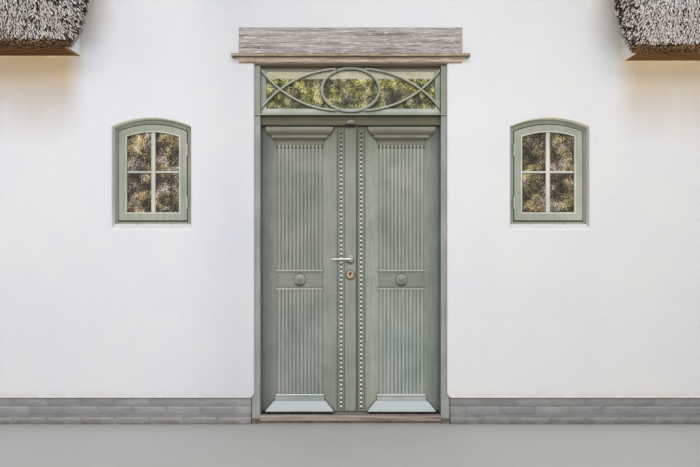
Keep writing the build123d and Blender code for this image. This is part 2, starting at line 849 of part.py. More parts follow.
for side, name, _ in sides:
    centre = side * window_centre
    casement_centre = side * (window_centre + casement_shift)
    with BuildPart() as window_frame:
        with BuildSketch(facing(frame_rear)):
            arched_light(centre, opening_window_half, sill_top, arch_radius)
            arched_light(casement_centre, pocket_half - window_stop, casement_bottom + window_stop,
                         casement_radius - window_stop, mode=Mode.SUBTRACT)
        extrude(amount=window_frame_depth)
        with BuildSketch(facing(frame_front + casement_pocket)):
            arched_light(casement_centre, pocket_half, casement_bottom - casement_clearance,
                         casement_radius + casement_clearance)
        extrude(amount=casement_pocket, mode=Mode.SUBTRACT)
    write(window_frame, f"{name}_window_frame")

    with BuildPart() as casement:
        with BuildSketch(facing(frame_front + casement_pocket)):
            arched_light(casement_centre, casement_half, casement_bottom, casement_radius)
            arched_light(casement_centre, sash_half, sash_foot, sash_radius, mode=Mode.SUBTRACT)
        extrude(amount=casement_pocket + casement_proud)
    write(casement, f"{name}_casement")

with BuildPart() as glazing_beads:
    for side in (-1, 1):
        casement_centre = side * (window_centre + casement_shift)
        with BuildSketch(facing(window_pane_front)):
            arched_light(casement_centre, sash_half, sash_foot, sash_radius)
            arched_light(casement_centre, sash_half - glazing_bead_width,
                         sash_foot + glazing_bead_width, sash_radius - glazing_bead_width,
                         mode=Mode.SUBTRACT)
        extrude(amount=glazing_bead_depth)
write(glazing_beads, "glazing_beads")

with BuildPart() as window_glass:
    for side in (-1, 1):
        casement_centre = side * (window_centre + casement_shift)
        with BuildSketch(facing(window_pane_front + glass_thickness)):
            arched_light(casement_centre, sash_half - glass_clearance,
                         sash_foot + glass_clearance, sash_radius - glass_clearance)
        extrude(amount=glass_thickness)
write(window_glass, "window_glass")


# Eaves: wall plate, rafters, soffit and end boards, and the thatch on top
def slope_level(soffit_level, depth):
    """Height of the thatch's underside at a depth; it starts at the soffit's outer edge."""
    return soffit_level + soffit_thickness + (depth + soffit_reach) * pitch_rise


def rafter_section(soffit_level):
    """Rafter in depth and height, cut level on the soffit and plumb at the back."""
    tail_depth = -soffit_reach + rafter_drop / pitch_rise
    top_back = slope_level(soffit_level, wall_thickness)
    with BuildLine() as outline:
        Polyline((front - soffit_reach, soffit_level + soffit_thickness),
                 (front + wall_thickness, top_back),
                 (front + wall_thickness, top_back - rafter_drop),
                 (front + tail_depth, soffit_level + soffit_thickness), close=True)
    make_face(outline.edges())


board_inner = raised_half - board_thickness / 2
board_outer = raised_half + board_thickness / 2
rafter_first = board_outer + rafter_width / 2 + rafter_end_margin
rafter_last = half_bay - rafter_width / 2 - rafter_end_margin
rafter_step = (rafter_last - rafter_first) / (rafters_per_side - 1)

with BuildPart() as wall_plates:
    for side, _, soffit_level in sides:
        foot = soffit_level + soffit_thickness
        with BuildSketch(facing(plate_setback + plate_width)):
            panel(side * board_outer, side * half_bay, foot, foot + plate_height)
        extrude(amount=plate_width)
write(wall_plates, "wall_plates")

with BuildPart() as rafters:
    for side, _, soffit_level in sides:
        for step in range(rafters_per_side):
            middle = side * (rafter_first + step * rafter_step)
            with BuildSketch(across(middle - rafter_width / 2)):
                rafter_section(soffit_level)
            extrude(amount=rafter_width)
        foot = soffit_level + soffit_thickness
        with BuildSketch(facing(plate_setback + plate_width)):
            panel(side * board_outer, side * half_bay, foot, foot + plate_height)
        extrude(amount=plate_width, mode=Mode.SUBTRACT)
write(rafters, "rafters")

with BuildPart() as soffit_boards:
    for side, _, soffit_level in sides:
        with BuildSketch(facing(0)):
            panel(side * board_outer, side * half_bay, soffit_level, soffit_level + soffit_thickness)
        extrude(amount=soffit_reach)
write(soffit_boards, "soffit_boards")

with BuildPart() as end_boards:
    for side, _, soffit_level in sides:
        low_x = min(side * board_inner, side * board_outer)
        with BuildSketch(across(low_x)):
            with BuildLine():
                Polyline((front - soffit_reach, soffit_level), (front, soffit_level),
                         (front, slope_level(soffit_level, 0)),
                         (front - soffit_reach, slope_level(soffit_level, -soffit_reach)), close=True)
            make_face()
        extrude(amount=board_thickness)
write(end_boards, "end_boards")


# Thatch: one coat on the slope, cut plumb at the eave and lapping round the raised front
def thatch_section(soffit_level):
    """Outline of the coat in depth and height, from the foot of the cut face round."""
    foot_depth = -thatch_reach
    brow_depth = -thatch_reach - thatch_lean
    back_top = slope_level(soffit_level, wall_thickness) + thatch_depth
    with BuildLine() as outline:
        FilletPolyline((front - soffit_reach, soffit_level), (front + foot_depth, soffit_level),
                       (front + brow_depth, slope_level(soffit_level, brow_depth) + thatch_depth),
                       (front + wall_thickness, back_top),
                       radius=[thatch_foot_radius, thatch_corner_radius])
        Polyline((front + wall_thickness, back_top),
                 (front + wall_thickness, slope_level(soffit_level, wall_thickness)),
                 (front - soffit_reach, slope_level(soffit_level, -soffit_reach)),
                 (front - soffit_reach, soffit_level))
    make_face(outline.edges())
    panel(front + brow_depth - thatch_corner_radius, front + wall_thickness, soffit_level, cut_level,
          mode=Mode.INTERSECT)


def lap_outline(side, low, high, lap_foot):
    """Front view of what the lapping coat may fill, from its curved end away from the door."""
    far = side * (raised_half + 2 * lap_front)
    with BuildLine() as outline:
        lap_end = Spline([(side * (raised_half - lap_foot - lap_spread * sqrt(share)),
                           low + (high - low) * share) for share in lap_shares])
        Polyline(lap_end @ 1, (far, high), (far, low), lap_end @ 0)
    make_face(outline.edges())


lap_front = thatch_reach + thatch_lean
lap_reach = max(left_lap_foot, right_lap_foot) + lap_spread + thatch_trim
for (side, name, soffit_level), lap_foot in zip(sides, (left_lap_foot, right_lap_foot)):
    low = soffit_level - thatch_trim
    high = slope_level(soffit_level, 0) + thatch_depth + thatch_trim
    with BuildPart() as thatch:
        with BuildSketch(across(min(side * raised_half, side * (raised_half - lap_reach)))):
            thatch_section(soffit_level)
        extrude(amount=lap_reach)
        for foot, slant in ((lap_foot, lap_slant), (lap_foot - lap_corner_cut_back, -lap_corner_slant)):
            with BuildSketch(facing(-lap_front)):
                lap_outline(side, low, high, foot)
            extrude(amount=lap_front / cos(radians(slant)), mode=Mode.INTERSECT,
                    dir=(side * sin(radians(slant)), cos(radians(slant)), 0))
        with BuildSketch(across(min(side * raised_half, side * half_bay))):
            thatch_section(soffit_level)
        extrude(amount=half_bay - raised_half)
    write(thatch, f"{name}_thatch")
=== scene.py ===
# %% [markdown]
# # Entrance front of a thatched house
# A white plastered wall, a pair of panelled door leaves under a fanlight, a small arched
# window on each side and the ends of two thatched eaves. The measured solids come from the
# frame and stay where they are. This lesson gives each of them its finish, and adds what is
# too small or too many for them: bricks, reeds, beads, glazing bars and small ironwork.

# %% Load the frame
from itertools import product
from math import cos, radians, sin, sqrt
import random

import bmesh
import bpy
import numpy as np
from mathutils import Matrix, Vector


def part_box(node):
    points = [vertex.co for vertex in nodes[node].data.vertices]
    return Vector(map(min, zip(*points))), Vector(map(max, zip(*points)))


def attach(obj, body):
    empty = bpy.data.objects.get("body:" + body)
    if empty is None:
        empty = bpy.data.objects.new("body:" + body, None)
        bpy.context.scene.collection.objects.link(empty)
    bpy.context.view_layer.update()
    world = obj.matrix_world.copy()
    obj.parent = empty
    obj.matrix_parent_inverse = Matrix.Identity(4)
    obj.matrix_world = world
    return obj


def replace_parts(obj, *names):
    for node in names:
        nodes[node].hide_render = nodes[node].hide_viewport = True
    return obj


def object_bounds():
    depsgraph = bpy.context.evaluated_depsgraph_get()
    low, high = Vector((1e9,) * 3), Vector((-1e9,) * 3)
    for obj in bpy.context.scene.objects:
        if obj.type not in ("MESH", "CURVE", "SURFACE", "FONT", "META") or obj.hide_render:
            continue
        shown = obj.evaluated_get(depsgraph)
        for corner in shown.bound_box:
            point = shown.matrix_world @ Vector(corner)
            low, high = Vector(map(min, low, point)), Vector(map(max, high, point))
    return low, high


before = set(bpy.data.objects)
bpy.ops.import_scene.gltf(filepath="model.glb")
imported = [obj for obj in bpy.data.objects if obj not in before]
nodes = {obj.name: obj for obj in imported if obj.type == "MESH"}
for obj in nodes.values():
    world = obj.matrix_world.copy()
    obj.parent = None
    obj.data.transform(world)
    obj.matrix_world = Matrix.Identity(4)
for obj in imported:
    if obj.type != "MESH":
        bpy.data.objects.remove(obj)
cad_low, cad_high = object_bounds()
wall_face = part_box("left_wall")[0].y
ways = {"left": -1, "right": 1}
print(len(nodes), "solids loaded; the plaster's face is at y =", round(wall_face, 3))

# %% [markdown]
# ## Camera and lamps
# The front is seen straight on from eye height, so the camera is level and needs no shift.
# Two wide soft lamps light the front. The one high up stands for the sky, and gives each
# moulding a bright top and a soft shadow below. The one at eye level fills those shadows,
# which the sky alone would leave too dark. A third lamp lights the side of the room.

# %% Camera
photo_width = 700
plaster_scale = 0.00700
camera_distance = 4.4
door_middle_px, eye_level = 350.6, 1.34

camera_data = bpy.data.cameras.new("camera")
camera_data.sensor_width = 36
camera_data.lens = camera_data.sensor_width * camera_distance / (photo_width * plaster_scale)
camera = bpy.data.objects.new("camera", camera_data)
aside = (photo_width / 2 - door_middle_px) * plaster_scale
camera.location = (aside, wall_face - camera_distance, eye_level)
camera.rotation_euler = (radians(90), 0, 0)
bpy.context.scene.collection.objects.link(camera)
bpy.context.scene.camera = camera
bpy.context.scene.view_settings.view_transform = "Standard"
print("lens", round(camera_data.lens, 1), "mm")


# %% Lamps
def add_lamp(name, place, aim, size, power, tint=(1, 1, 1)):
    """Rectangular area lamp that looks from its place to the point it is aimed at."""
    data = bpy.data.lights.new(name, "AREA")
    data.shape = "RECTANGLE"
    data.size, data.size_y = size
    data.energy = power
    data.color = tint
    lamp = bpy.data.objects.new(name, data)
    lamp.location = place
    lamp.rotation_euler = (Vector(aim) - Vector(place)).to_track_quat("-Z", "Y").to_euler()
    bpy.context.scene.collection.objects.link(lamp)
    print("lamp:", name, power, "W")


add_lamp("sky", (0.2, -9.5, 6.6), (0, 0, 1.2), (7.5, 3), 345, (1.0, 0.99, 0.97))
add_lamp("front", (0.1, -8.6, 1.9), (0, 0, 1.8), (6.2, 3.4), 325, (1.0, 0.99, 0.98))
add_lamp("room_side", (0.5, 6.0, 6.5), (0, 0, 1.4), (6, 4), 260)

# %% [markdown]
# ## Small tools for finishes
# Every finish is procedural and reads Object coordinates, so a pattern keeps its real size.
# A few helpers are enough: stretched coordinates, a noise, a graded colour and a mix. A
# share is a value from 0 to 1 that says how far a mix goes, and most shares come from a
# place on the object or from the way a surface faces. Colours are written as the eye reads
# them, from 0 to 255, and turned to linear values.

# %% Colours and materials
def shade(red, green, blue):
    """Linear colour with alpha for a colour written from 0 to 255."""
    def linear(value):
        value = value / 255
        return value / 12.92 if value <= 0.04045 else ((value + 0.055) / 1.055) ** 2.4
    return (linear(red), linear(green), linear(blue), 1)


print("the middle grey of 128 is", round(shade(128, 128, 128)[0], 3), "as a linear value")


def grey(level):
    """Plain grey colour of one linear level."""
    return (level, level, level, 1)


def new_finish(name, roughness, metallic=0.0):
    """A material and its node tree."""
    material = bpy.data.materials.new(name)
    material.use_nodes = True
    shader = material.node_tree.nodes["Principled BSDF"]
    shader.inputs["Roughness"].default_value = roughness
    shader.inputs["Metallic"].default_value = metallic
    return material, material.node_tree


def dress(finish, *names):
    """Give a finish to the frame's own solids."""
    for name in names:
        nodes[name].data.materials.clear()
        nodes[name].data.materials.append(finish)


# %% Patterns, mixes and sums
def stretched(tree, scale=(1, 1, 1)):
    """Object coordinates in metres, stretched by a scale for each axis."""
    place = tree.nodes.new("ShaderNodeTexCoord")
    mapping = tree.nodes.new("ShaderNodeMapping")
    mapping.inputs["Scale"].default_value = scale
    tree.links.new(place.outputs["Object"], mapping.inputs["Vector"])
    return mapping.outputs["Vector"]


def noise(tree, vector, scale, detail=4.0, roughness=0.55, distortion=0.0):
    """Noise of about scale waves to the metre."""
    node = tree.nodes.new("ShaderNodeTexNoise")
    node.inputs["Scale"].default_value = scale
    node.inputs["Detail"].default_value = detail
    node.inputs["Roughness"].default_value = roughness
    node.inputs["Distortion"].default_value = distortion
    tree.links.new(vector, node.inputs["Vector"])
    return node.outputs["Fac"]


def graded(tree, value, stops):
    """Colour that runs through the stops, each a place from 0 to 1 and a colour."""
    node = tree.nodes.new("ShaderNodeValToRGB")
    ramp = node.color_ramp
    while len(ramp.elements) < len(stops):
        ramp.elements.new(0.5)
    for element, (place, colour) in zip(ramp.elements, stops):
        element.position = place
        element.color = colour
    tree.links.new(value, node.inputs["Fac"])
    return node.outputs["Color"]


def feed(tree, socket, value):
    """Give a socket what another one puts out, or a plain value."""
    if isinstance(value, bpy.types.NodeSocket):
        tree.links.new(value, socket)
    else:
        socket.default_value = value


def mixed(tree, share, first, second, blend="MIX"):
    """Two colours mixed; each of the three may be a socket or a plain value."""
    node = tree.nodes.new("ShaderNodeMix")
    node.data_type = "RGBA"
    node.blend_type = blend
    feed(tree, node.inputs[0], share)
    feed(tree, node.inputs[6], first)
    feed(tree, node.inputs[7], second)
    return node.outputs[2]


def tinted(tree, share, colour, tint):
    """A colour multiplied by a tint, three numbers or a socket, as far as the share says."""
    if not isinstance(tint, bpy.types.NodeSocket):
        tint = (*tint, 1)
    return mixed(tree, share, colour, tint, "MULTIPLY")


def computed(tree, operation, first, *others):
    """Sockets or numbers put through one operation, from the first to the last."""
    for second in others or (0.0,):
        node = tree.nodes.new("ShaderNodeMath")
        node.operation = operation
        feed(tree, node.inputs[0], first)
        feed(tree, node.inputs[1], second)
        first = node.outputs[0]
    return first


def times(tree, *values):
    """Sockets or numbers multiplied together."""
    return computed(tree, "MULTIPLY", *values)


# %% Shares
def between_levels(tree, value, low, high):
    """Share from 0 at the low value to 1 at the high one; low may be the greater of the two."""
    node = tree.nodes.new("ShaderNodeMapRange")
    node.inputs["From Min"].default_value = low
    node.inputs["From Max"].default_value = high
    tree.links.new(value, node.inputs["Value"])
    return node.outputs["Result"]


def one_axis(tree, vector, axis):
    """One of a vector's three parts."""
    split = tree.nodes.new("ShaderNodeSeparateXYZ")
    tree.links.new(vector, split.inputs["Vector"])
    return split.outputs[axis]


def place_axis(tree, axis):
    """One of the object's own coordinates, in metres."""
    return one_axis(tree, stretched(tree), axis)


def along(tree, axis, low, high):
    """Share that grows along an axis, from 0 at one place to 1 at the other."""
    return between_levels(tree, place_axis(tree, axis), low, high)


def turned(tree, axis, low, high):
    """Share that grows as a surface turns; 1 is straight along the axis and -1 straight against it."""
    normal = tree.nodes.new("ShaderNodeNewGeometry").outputs["Normal"]
    return between_levels(tree, one_axis(tree, normal, axis), low, high)


def past(tree, axis, start):
    """How far a place lies beyond a start along an axis."""
    return computed(tree, "SUBTRACT", place_axis(tree, axis), start)


def off_middle(tree):
    """Distance to either side of the middle of the doorway."""
    return computed(tree, "ABSOLUTE", place_axis(tree, "X"))


def on_left(tree):
    """1 on the left half of the front."""
    return along(tree, "X", 0.1, -0.1)


def distance(tree, across, rise):
    """Distance from a point, for a place that lies so far across and above it."""
    squares = computed(tree, "ADD", times(tree, across, across), times(tree, rise, rise))
    return computed(tree, "SQRT", squares)


def crevices(tree, width):
    """Ambient occlusion: 1 on open surfaces, falling towards 0 in corners and in grooves narrower than the
    width.
    """
    node = tree.nodes.new("ShaderNodeAmbientOcclusion")
    node.samples = 6
    node.inputs["Distance"].default_value = width
    return node.outputs["AO"]


# %% Finished colour and relief
def coloured(tree, colour):
    """Connect the finished colour to the shader."""
    tree.links.new(colour, tree.nodes["Principled BSDF"].inputs["Base Color"])


def finished_colour(tree):
    """The colour that is connected to the shader."""
    return tree.nodes["Principled BSDF"].inputs["Base Color"].links[0].from_socket


def raised(tree, *layers):
    """Bump from one or more layers, each a height, its strength and its real depth in metres."""
    normal = None
    for height, strength, depth in layers:
        bump = tree.nodes.new("ShaderNodeBump")
        bump.inputs["Strength"].default_value = strength
        bump.inputs["Distance"].default_value = depth
        tree.links.new(height, bump.inputs["Height"])
        if normal:
            tree.links.new(normal, bump.inputs["Normal"])
        normal = bump.outputs["Normal"]
    tree.links.new(normal, tree.nodes["Principled BSDF"].inputs["Normal"])


def where(axis, low, high):
    """A share along an axis, to be worked out later in a finish."""
    return lambda tree: along(tree, axis, low, high)


def tinted_where(finish, make_share, tint):
    """Multiply a finished colour where a share says so, for a painted shadow line or a painted highlight on
    an edge.
    """
    tree = finish.node_tree
    coloured(tree, tinted(tree, make_share(tree), finished_colour(tree), tint))


def speckled_finish(name, roughness, scale, detail, dark, light, stops=(0.35, 0.65), grain=(1, 1, 1),
                    coarseness=0.55, relief=None):
    """Simple finish in two tones, with a relief from the same noise if its strength and depth are given."""
    material, tree = new_finish(name, roughness)
    spots = noise(tree, stretched(tree, grain), scale, detail, coarseness)
    coloured(tree, graded(tree, spots, list(zip(stops, (dark, light)))))
    if relief:
        raised(tree, (spots, *relief))
    return material


# %% [markdown]
# ## Surround and floor
# A weak, slightly blue world light fills what the lamps leave, so that a colour renders
# about as it is written. A stronger one would make the mouldings look flat. The camera,
# polished metal and glass see plain white instead, as a weak light would turn them black. A
# pale floor carries the house and throws light back up under the eaves.

# %% Surround
fill_colour, fill_strength = (0.94, 0.96, 1.0, 1), 0.32

world = bpy.data.worlds.new("studio")
bpy.context.scene.world = world
world.use_nodes = True
tree = world.node_tree
fill = tree.nodes["Background"]
fill.inputs["Color"].default_value = fill_colour
fill.inputs["Strength"].default_value = fill_strength
white = tree.nodes.new("ShaderNodeBackground")
white.inputs["Color"].default_value = grey(1)
ray = tree.nodes.new("ShaderNodeLightPath").outputs
seen = computed(tree, "MAXIMUM", ray["Is Glossy Ray"], ray["Is Transmission Ray"], ray["Is Camera Ray"])
choice = tree.nodes.new("ShaderNodeMixShader")
for socket, value in zip(choice.inputs, (seen, fill.outputs["Background"], white.outputs["Background"])):
    tree.links.new(value, socket)
tree.links.new(choice.outputs["Shader"], tree.nodes["World Output"].inputs["Surface"])
print("the world light has a strength of", fill_strength)

# %% Floor
floor_mesh = bmesh.new()
bmesh.ops.create_grid(floor_mesh, x_segments=1, y_segments=1, size=30)
bmesh.ops.translate(floor_mesh, verts=floor_mesh.verts, vec=(0, 0, -0.001))
floor_data = bpy.data.meshes.new("floor")
floor_mesh.to_mesh(floor_data)
floor_mesh.free()
floor = bpy.data.objects.new("floor", floor_data)
floor.data.materials.append(speckled_finish("pale_floor", 0.9, 1.5, 4, shade(206, 205, 202),
                                            shade(211, 210, 207), (0.3, 0.7)))
bpy.context.scene.collection.objects.link(floor)
print("floor:", round(floor.dimensions.x), "m wide")

# %% [markdown]
# ## Plaster
# Limewash on plaster is nearly white, matt and softly uneven: a broad ripple from the float
# and a fine tooth. Rain misses the strip under the eaves, so it has yellowed there, and the
# eaves' warm shade is painted into the same strip, most at the top. Beside the ends of the
# thatch the wall is painted paler, against the shadow that the thatch casts there. Surfaces
# that look down are painted a pale warm cream, as painted light that lifts their shade, and
# splashes have left a faint warm rim above the plinth. A thin painted shadow lines the
# plaster's foot. Each of these follows a place on the wall, so each is a share of its own,
# mixed over the plain limewash.

# %% Stains and bleached plaster
raised_front_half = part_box("end_boards")[1].x
soffit_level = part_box("soffit_boards")[0].z
stain_and_shade_foot = 1.95
lap_slant, lap_fade = 0.4, (2.78, 3.0)


def stain_and_shade_under_eaves(tree, base):
    """Plaster stained where rain doesn't reach it, with the eaves' warm shade painted in, a little darker on
    the left.
    """
    beside = between_levels(tree, off_middle(tree), raised_front_half - 0.07, raised_front_half + 0.09)
    wander = times(tree, noise(tree, stretched(tree, (3, 3, 1.2)), 1.6, 3), 0.28)
    height = computed(tree, "ADD", place_axis(tree, "Z"), wander)
    rise = between_levels(tree, height, stain_and_shade_foot + 0.14, soffit_level + 0.16)
    depth = graded(tree, rise, [(0, grey(0)), (0.35, grey(0.34)), (0.66, grey(0.66)), (0.85, grey(0.9)),
                                (1, grey(1))])
    outside = turned(tree, "Y", -0.1, -0.4)
    # Stain and painted warm shade under the eaves, strongest at the top.
    stain_and_shade_colour = graded(tree, rise, [(0.3, shade(190, 175, 152)), (0.62, shade(196, 174, 140)),
                                   (0.9, shade(226, 204, 164))])
    stain_and_shade_colour = tinted(tree, on_left(tree), stain_and_shade_colour, (0.87, 0.84, 0.79))
    return mixed(tree, times(tree, beside, depth, outside), base, stain_and_shade_colour)


def painted_light_beside_laps(tree, base):
    """Plaster painted paler beside the slanting ends of the thatch, between the eaves and the wall's head,
    against the shadow that the thatch casts there.
    """
    above = times(tree, along(tree, "Z", soffit_level + 0.02, soffit_level + 0.25),
                  along(tree, "Z", soffit_level + 0.8, soffit_level + 0.5))
    level = computed(tree, "MINIMUM", place_axis(tree, "Z"), soffit_level + 0.35)
    slanting = computed(tree, "ADD", off_middle(tree), times(tree, level, lap_slant))
    near_lap = between_levels(tree, slanting, *lap_fade)
    # Painted light: a pale warm white beside the thatch's ends.
    return mixed(tree, times(tree, above, near_lap), base, shade(255, 250, 240))


print("the stain reaches", round(soffit_level - stain_and_shade_foot, 2), "m below the eaves")

# %% Limewash
plaster_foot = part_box("left_wall")[0].z
wall_fade = (0.2, 3.4)


def fine_tooth(tree):
    """Layer of relief for the fine tooth of limewash."""
    return noise(tree, stretched(tree), 160, 3), 0.25, 0.0015


def make_plaster():
    """Limewashed plaster with its stains, splashes and relief."""
    material, tree = new_finish("limewash", 0.92)
    place = stretched(tree)
    plain = graded(tree, noise(tree, place, 1.6, 5), [(0.35, shade(226, 227, 231)),
                                                      (0.65, shade(232, 231, 230))])
    speckle = graded(tree, noise(tree, place, 85, 3), [(0.36, grey(0.9)), (0.52, grey(1))])
    base = tinted(tree, 0.4, plain, speckle)
    up_the_wall = graded(tree, along(tree, "Z", *wall_fade),
                         [(0, grey(0.93)), (0.6, grey(1)), (1, grey(0.92))])
    base = tinted(tree, 1.0, base, up_the_wall)
    across = graded(tree, along(tree, "X", cad_low.x, cad_high.x),
                    [(0, (1.04, 1.04, 1.06, 1)), (0.27, (0.98, 0.99, 1.03, 1)),
                     (0.34, (0.88, 0.89, 0.93, 1)), (0.62, grey(0.99)), (1, (0.95, 0.94, 0.92, 1))])
    base = tinted(tree, 1.0, base, across)
    base = painted_light_beside_laps(tree, stain_and_shade_under_eaves(tree, base))
    splashes = between_levels(tree, noise(tree, place, 17, 4), 0.36, 0.6)
    rim = times(tree, along(tree, "Z", plaster_foot + 0.06, plaster_foot), splashes, 0.6)
    base = mixed(tree, rim, base, shade(206, 200, 186))
    # Painted light: what looks down, such as the arch soffits, is lifted to a pale warm cream.
    base = mixed(tree, turned(tree, "Z", -0.3, -0.8), base, shade(255, 251, 230))
    # Painted shadow: a thin dark brown line along the plaster's foot, under its lip.
    foot_shadow_line = along(tree, "Z", plaster_foot + 0.0016, plaster_foot - 0.0016)
    coloured(tree, mixed(tree, foot_shadow_line, base, shade(112, 92, 74)))
    raised(tree, (noise(tree, place, 3.0, 3), 0.5, 0.012), fine_tooth(tree))
    return material


limewash = make_plaster()
sill_wash = speckled_finish("sill_wash", 0.9, 9, 4, shade(250, 251, 255), shade(255, 255, 255))
raised(sill_wash.node_tree, fine_tooth(sill_wash.node_tree))
dress(limewash, "left_wall", "right_wall", "wall_over_door")
dress(sill_wash, "window_sills")
print("the plaster starts at z =", round(plaster_foot, 3))

# %% [markdown]
# ## Sage paint
# The joinery is painted a grey sage. Linseed paint weathers in the direction of the grain,
# so the colour is mixed from long streaks, a cloudy fade, and darker grime and painted shade
# in the grooves and recesses. What looks up is painted paler, for both bleaching by rain and
# sun and painted light from above, and what looks down a darker olive, for both dirt and
# painted shade. Rails and arches keep the same paint, with the grain lying the other way.

# %% Sage paint
fresh_sage, old_sage, faded_sage = shade(128, 136, 124), shade(139, 145, 134), shade(152, 155, 145)
washed_and_lit_sage, olive_shade, groove_dirt_and_shade = shade(194, 200, 201), shade(88, 84, 66), shade(48, 50, 38)
upright_grain, level_grain = (70, 70, 4), (4, 70, 70)


def make_sage(name, grain, tint=(1, 1, 1), jamb_shade=None, patch=None, washed_and_lit_share=1.0, dirt_and_shade_share=0.6,
              under=olive_shade, crown=washed_and_lit_sage):
    """Weathered sage paint, tinted as a whole, and again with painted shade on a strip near the jambs or in
    a patch if given.
    """
    material, tree = new_finish(f"sage_paint_{name}", 0.58)
    place = stretched(tree)
    streaks = noise(tree, stretched(tree, grain), 1.0, 6, 0.62)
    base = graded(tree, noise(tree, place, 3.2, 4, 0.6, 0.4), [(0.36, fresh_sage), (0.5, old_sage),
                                                              (0.66, faded_sage)])
    worn = graded(tree, streaks, [(0.34, grey(0.82)), (0.5, grey(0.97)), (0.68, grey(1.12))])
    base = tinted(tree, 0.8, base, worn)
    blush = between_levels(tree, noise(tree, stretched(tree, (9, 9, 2.2)), 1.0, 4, 0.6), 0.52, 0.72)
    base = mixed(tree, times(tree, blush, 0.4), base, shade(160, 152, 143))
    base = tinted(tree, 1.0, base, tint)
    if patch:
        axis, start, end, patch_tint = patch
        base = tinted(tree, along(tree, axis, start, end), base, patch_tint)
    # Painted shade on the strip nearest the jambs.
    if jamb_shade:
        base = tinted(tree, between_levels(tree, off_middle(tree), *jamb_shade), base, (0.48, 0.53, 0.55))
    # Bleaching and painted top light on what looks up; dirt and painted shade, a darker olive, on what looks
    # down.
    base = mixed(tree, times(tree, turned(tree, "Z", 0.08, 0.36), washed_and_lit_share), base, crown)
    base = mixed(tree, times(tree, turned(tree, "Z", -0.05, -0.34), 0.9), base, under)
    # Painted shade in recesses within 7 cm, and darker dirt and painted shade in grooves within 2 cm.
    recess_shade = graded(tree, crevices(tree, 0.07), [(0.25, grey(0.55)), (0.75, grey(1))])
    base = tinted(tree, 0.8, base, recess_shade)
    hollow_dirt_and_shade = between_levels(tree, crevices(tree, 0.02), 0.8, 0.25)
    coloured(tree, mixed(tree, times(tree, hollow_dirt_and_shade, dirt_and_shade_share), base, groove_dirt_and_shade))
    raised(tree, (streaks, 0.22, 0.002), (noise(tree, place, 220, 2), 0.1, 0.0006))
    return material


print("streaks to the metre:", upright_grain[2], "along the grain and", upright_grain[0], "across it")

# %% [markdown]
# ## Paint on the door leaves
# The left leaf is a little darker than the right one. Shade from the transom is painted on
# the heads of both, and the reeds and the meeting strip are paler near their feet. Dirt and
# a painted shadow lie round the lock, a painted shadow below the lever's rose, and painted
# shade along the bead strips, between their beads and in the joint behind each base. A noise
# wouldn't set them there, so each is worked out from its place on the leaf.

# %% Places on the leaves
leaf_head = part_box("left_leaf")[1].z
base_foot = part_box("left_pilaster_base")[0].z
base_inner = -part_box("left_pilaster_base")[1].x


def middle_of(name):
    """Middle of one of the frame's solids."""
    low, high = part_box(name)
    return (low + high) / 2


def under_transom(tree):
    """Share that grows towards the heads of the leaves, where the transom keeps them in shade."""
    return along(tree, "Z", leaf_head - 0.34, leaf_head - 0.03)


def shadow_behind_base(tree):
    """1 in the joint between each base and the threshold, where a shadow is painted."""
    where_bases_stand = between_levels(tree, off_middle(tree), base_inner, base_inner + 0.01)
    return times(tree, where_bases_stand, along(tree, "Z", base_foot + 0.002, base_foot))


def dirt_and_shadow_round(name, drop, inner, outer):
    """Share for dirt and a painted shadow round a small round fitting, centred a little below it."""
    middle = middle_of(name)

    def share(tree):
        to_fitting = distance(tree, past(tree, "X", middle.x), past(tree, "Z", middle.z - drop))
        return between_levels(tree, to_fitting, outer, inner)
    return share


print("shade under the transom starts", round(leaf_head - 0.34, 2), "m above the ground")

# %% Bead strips
bead_count = 64


def make_strip_paint(side):
    """Sage paint with painted shade along the edges of a bead strip and in the hollows between its beads."""
    low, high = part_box(f"{side}_bead_strip")
    half = (high.x - low.x) / 2
    paint = make_sage(f"{side}_strip", upright_grain, (1.0, 1.0, 0.98), dirt_and_shade_share=1.0)
    tinted_where(paint, under_transom, (0.5, 0.48, 0.38))

    def in_painted_shade(tree):
        across = computed(tree, "ABSOLUTE", past(tree, "X", middle_of(f"{side}_bead_strip").x))
        edge = between_levels(tree, across, half - 0.008, half - 0.004)
        steps = computed(tree, "FRACT", times(tree, past(tree, "Z", low.z), bead_count / (high.z - low.z)))
        from_bead = computed(tree, "ABSOLUTE", computed(tree, "SUBTRACT", steps, 0.5))
        hollow_shade = times(tree, between_levels(tree, from_bead, 0.32, 0.4),
                       between_levels(tree, across, 0.011, 0.007))
        return computed(tree, "MAXIMUM", edge, hollow_shade)

    # Painted shade on the strip's edges and between its beads.
    tinted_where(paint, in_painted_shade, (0.3, 0.31, 0.25))
    return paint


for side in ways:
    dress(make_strip_paint(side), f"{side}_bead_strip")
print("a bead strip has", bead_count, "beads")

# %% Leaves, reeded panels and meeting strip
leaf_tints = {"left": (0.88, 0.88, 0.89), "right": (1.05, 1.08, 1.06)}
reed_tints = {"left": (0.99, 0.99, 1.0), "right": (1.13, 1.15, 1.15)}
hinge_side_shade = (0.49, 0.60)
head_shadow = ("Z", leaf_head - 0.021, leaf_head - 0.011, (0.05, 0.05, 0.05))
transom_shade = (0.62, 0.6, 0.48)
reed_foot_fade, strip_foot_fade = (1.0, 0.6), (0.8, 0.35)

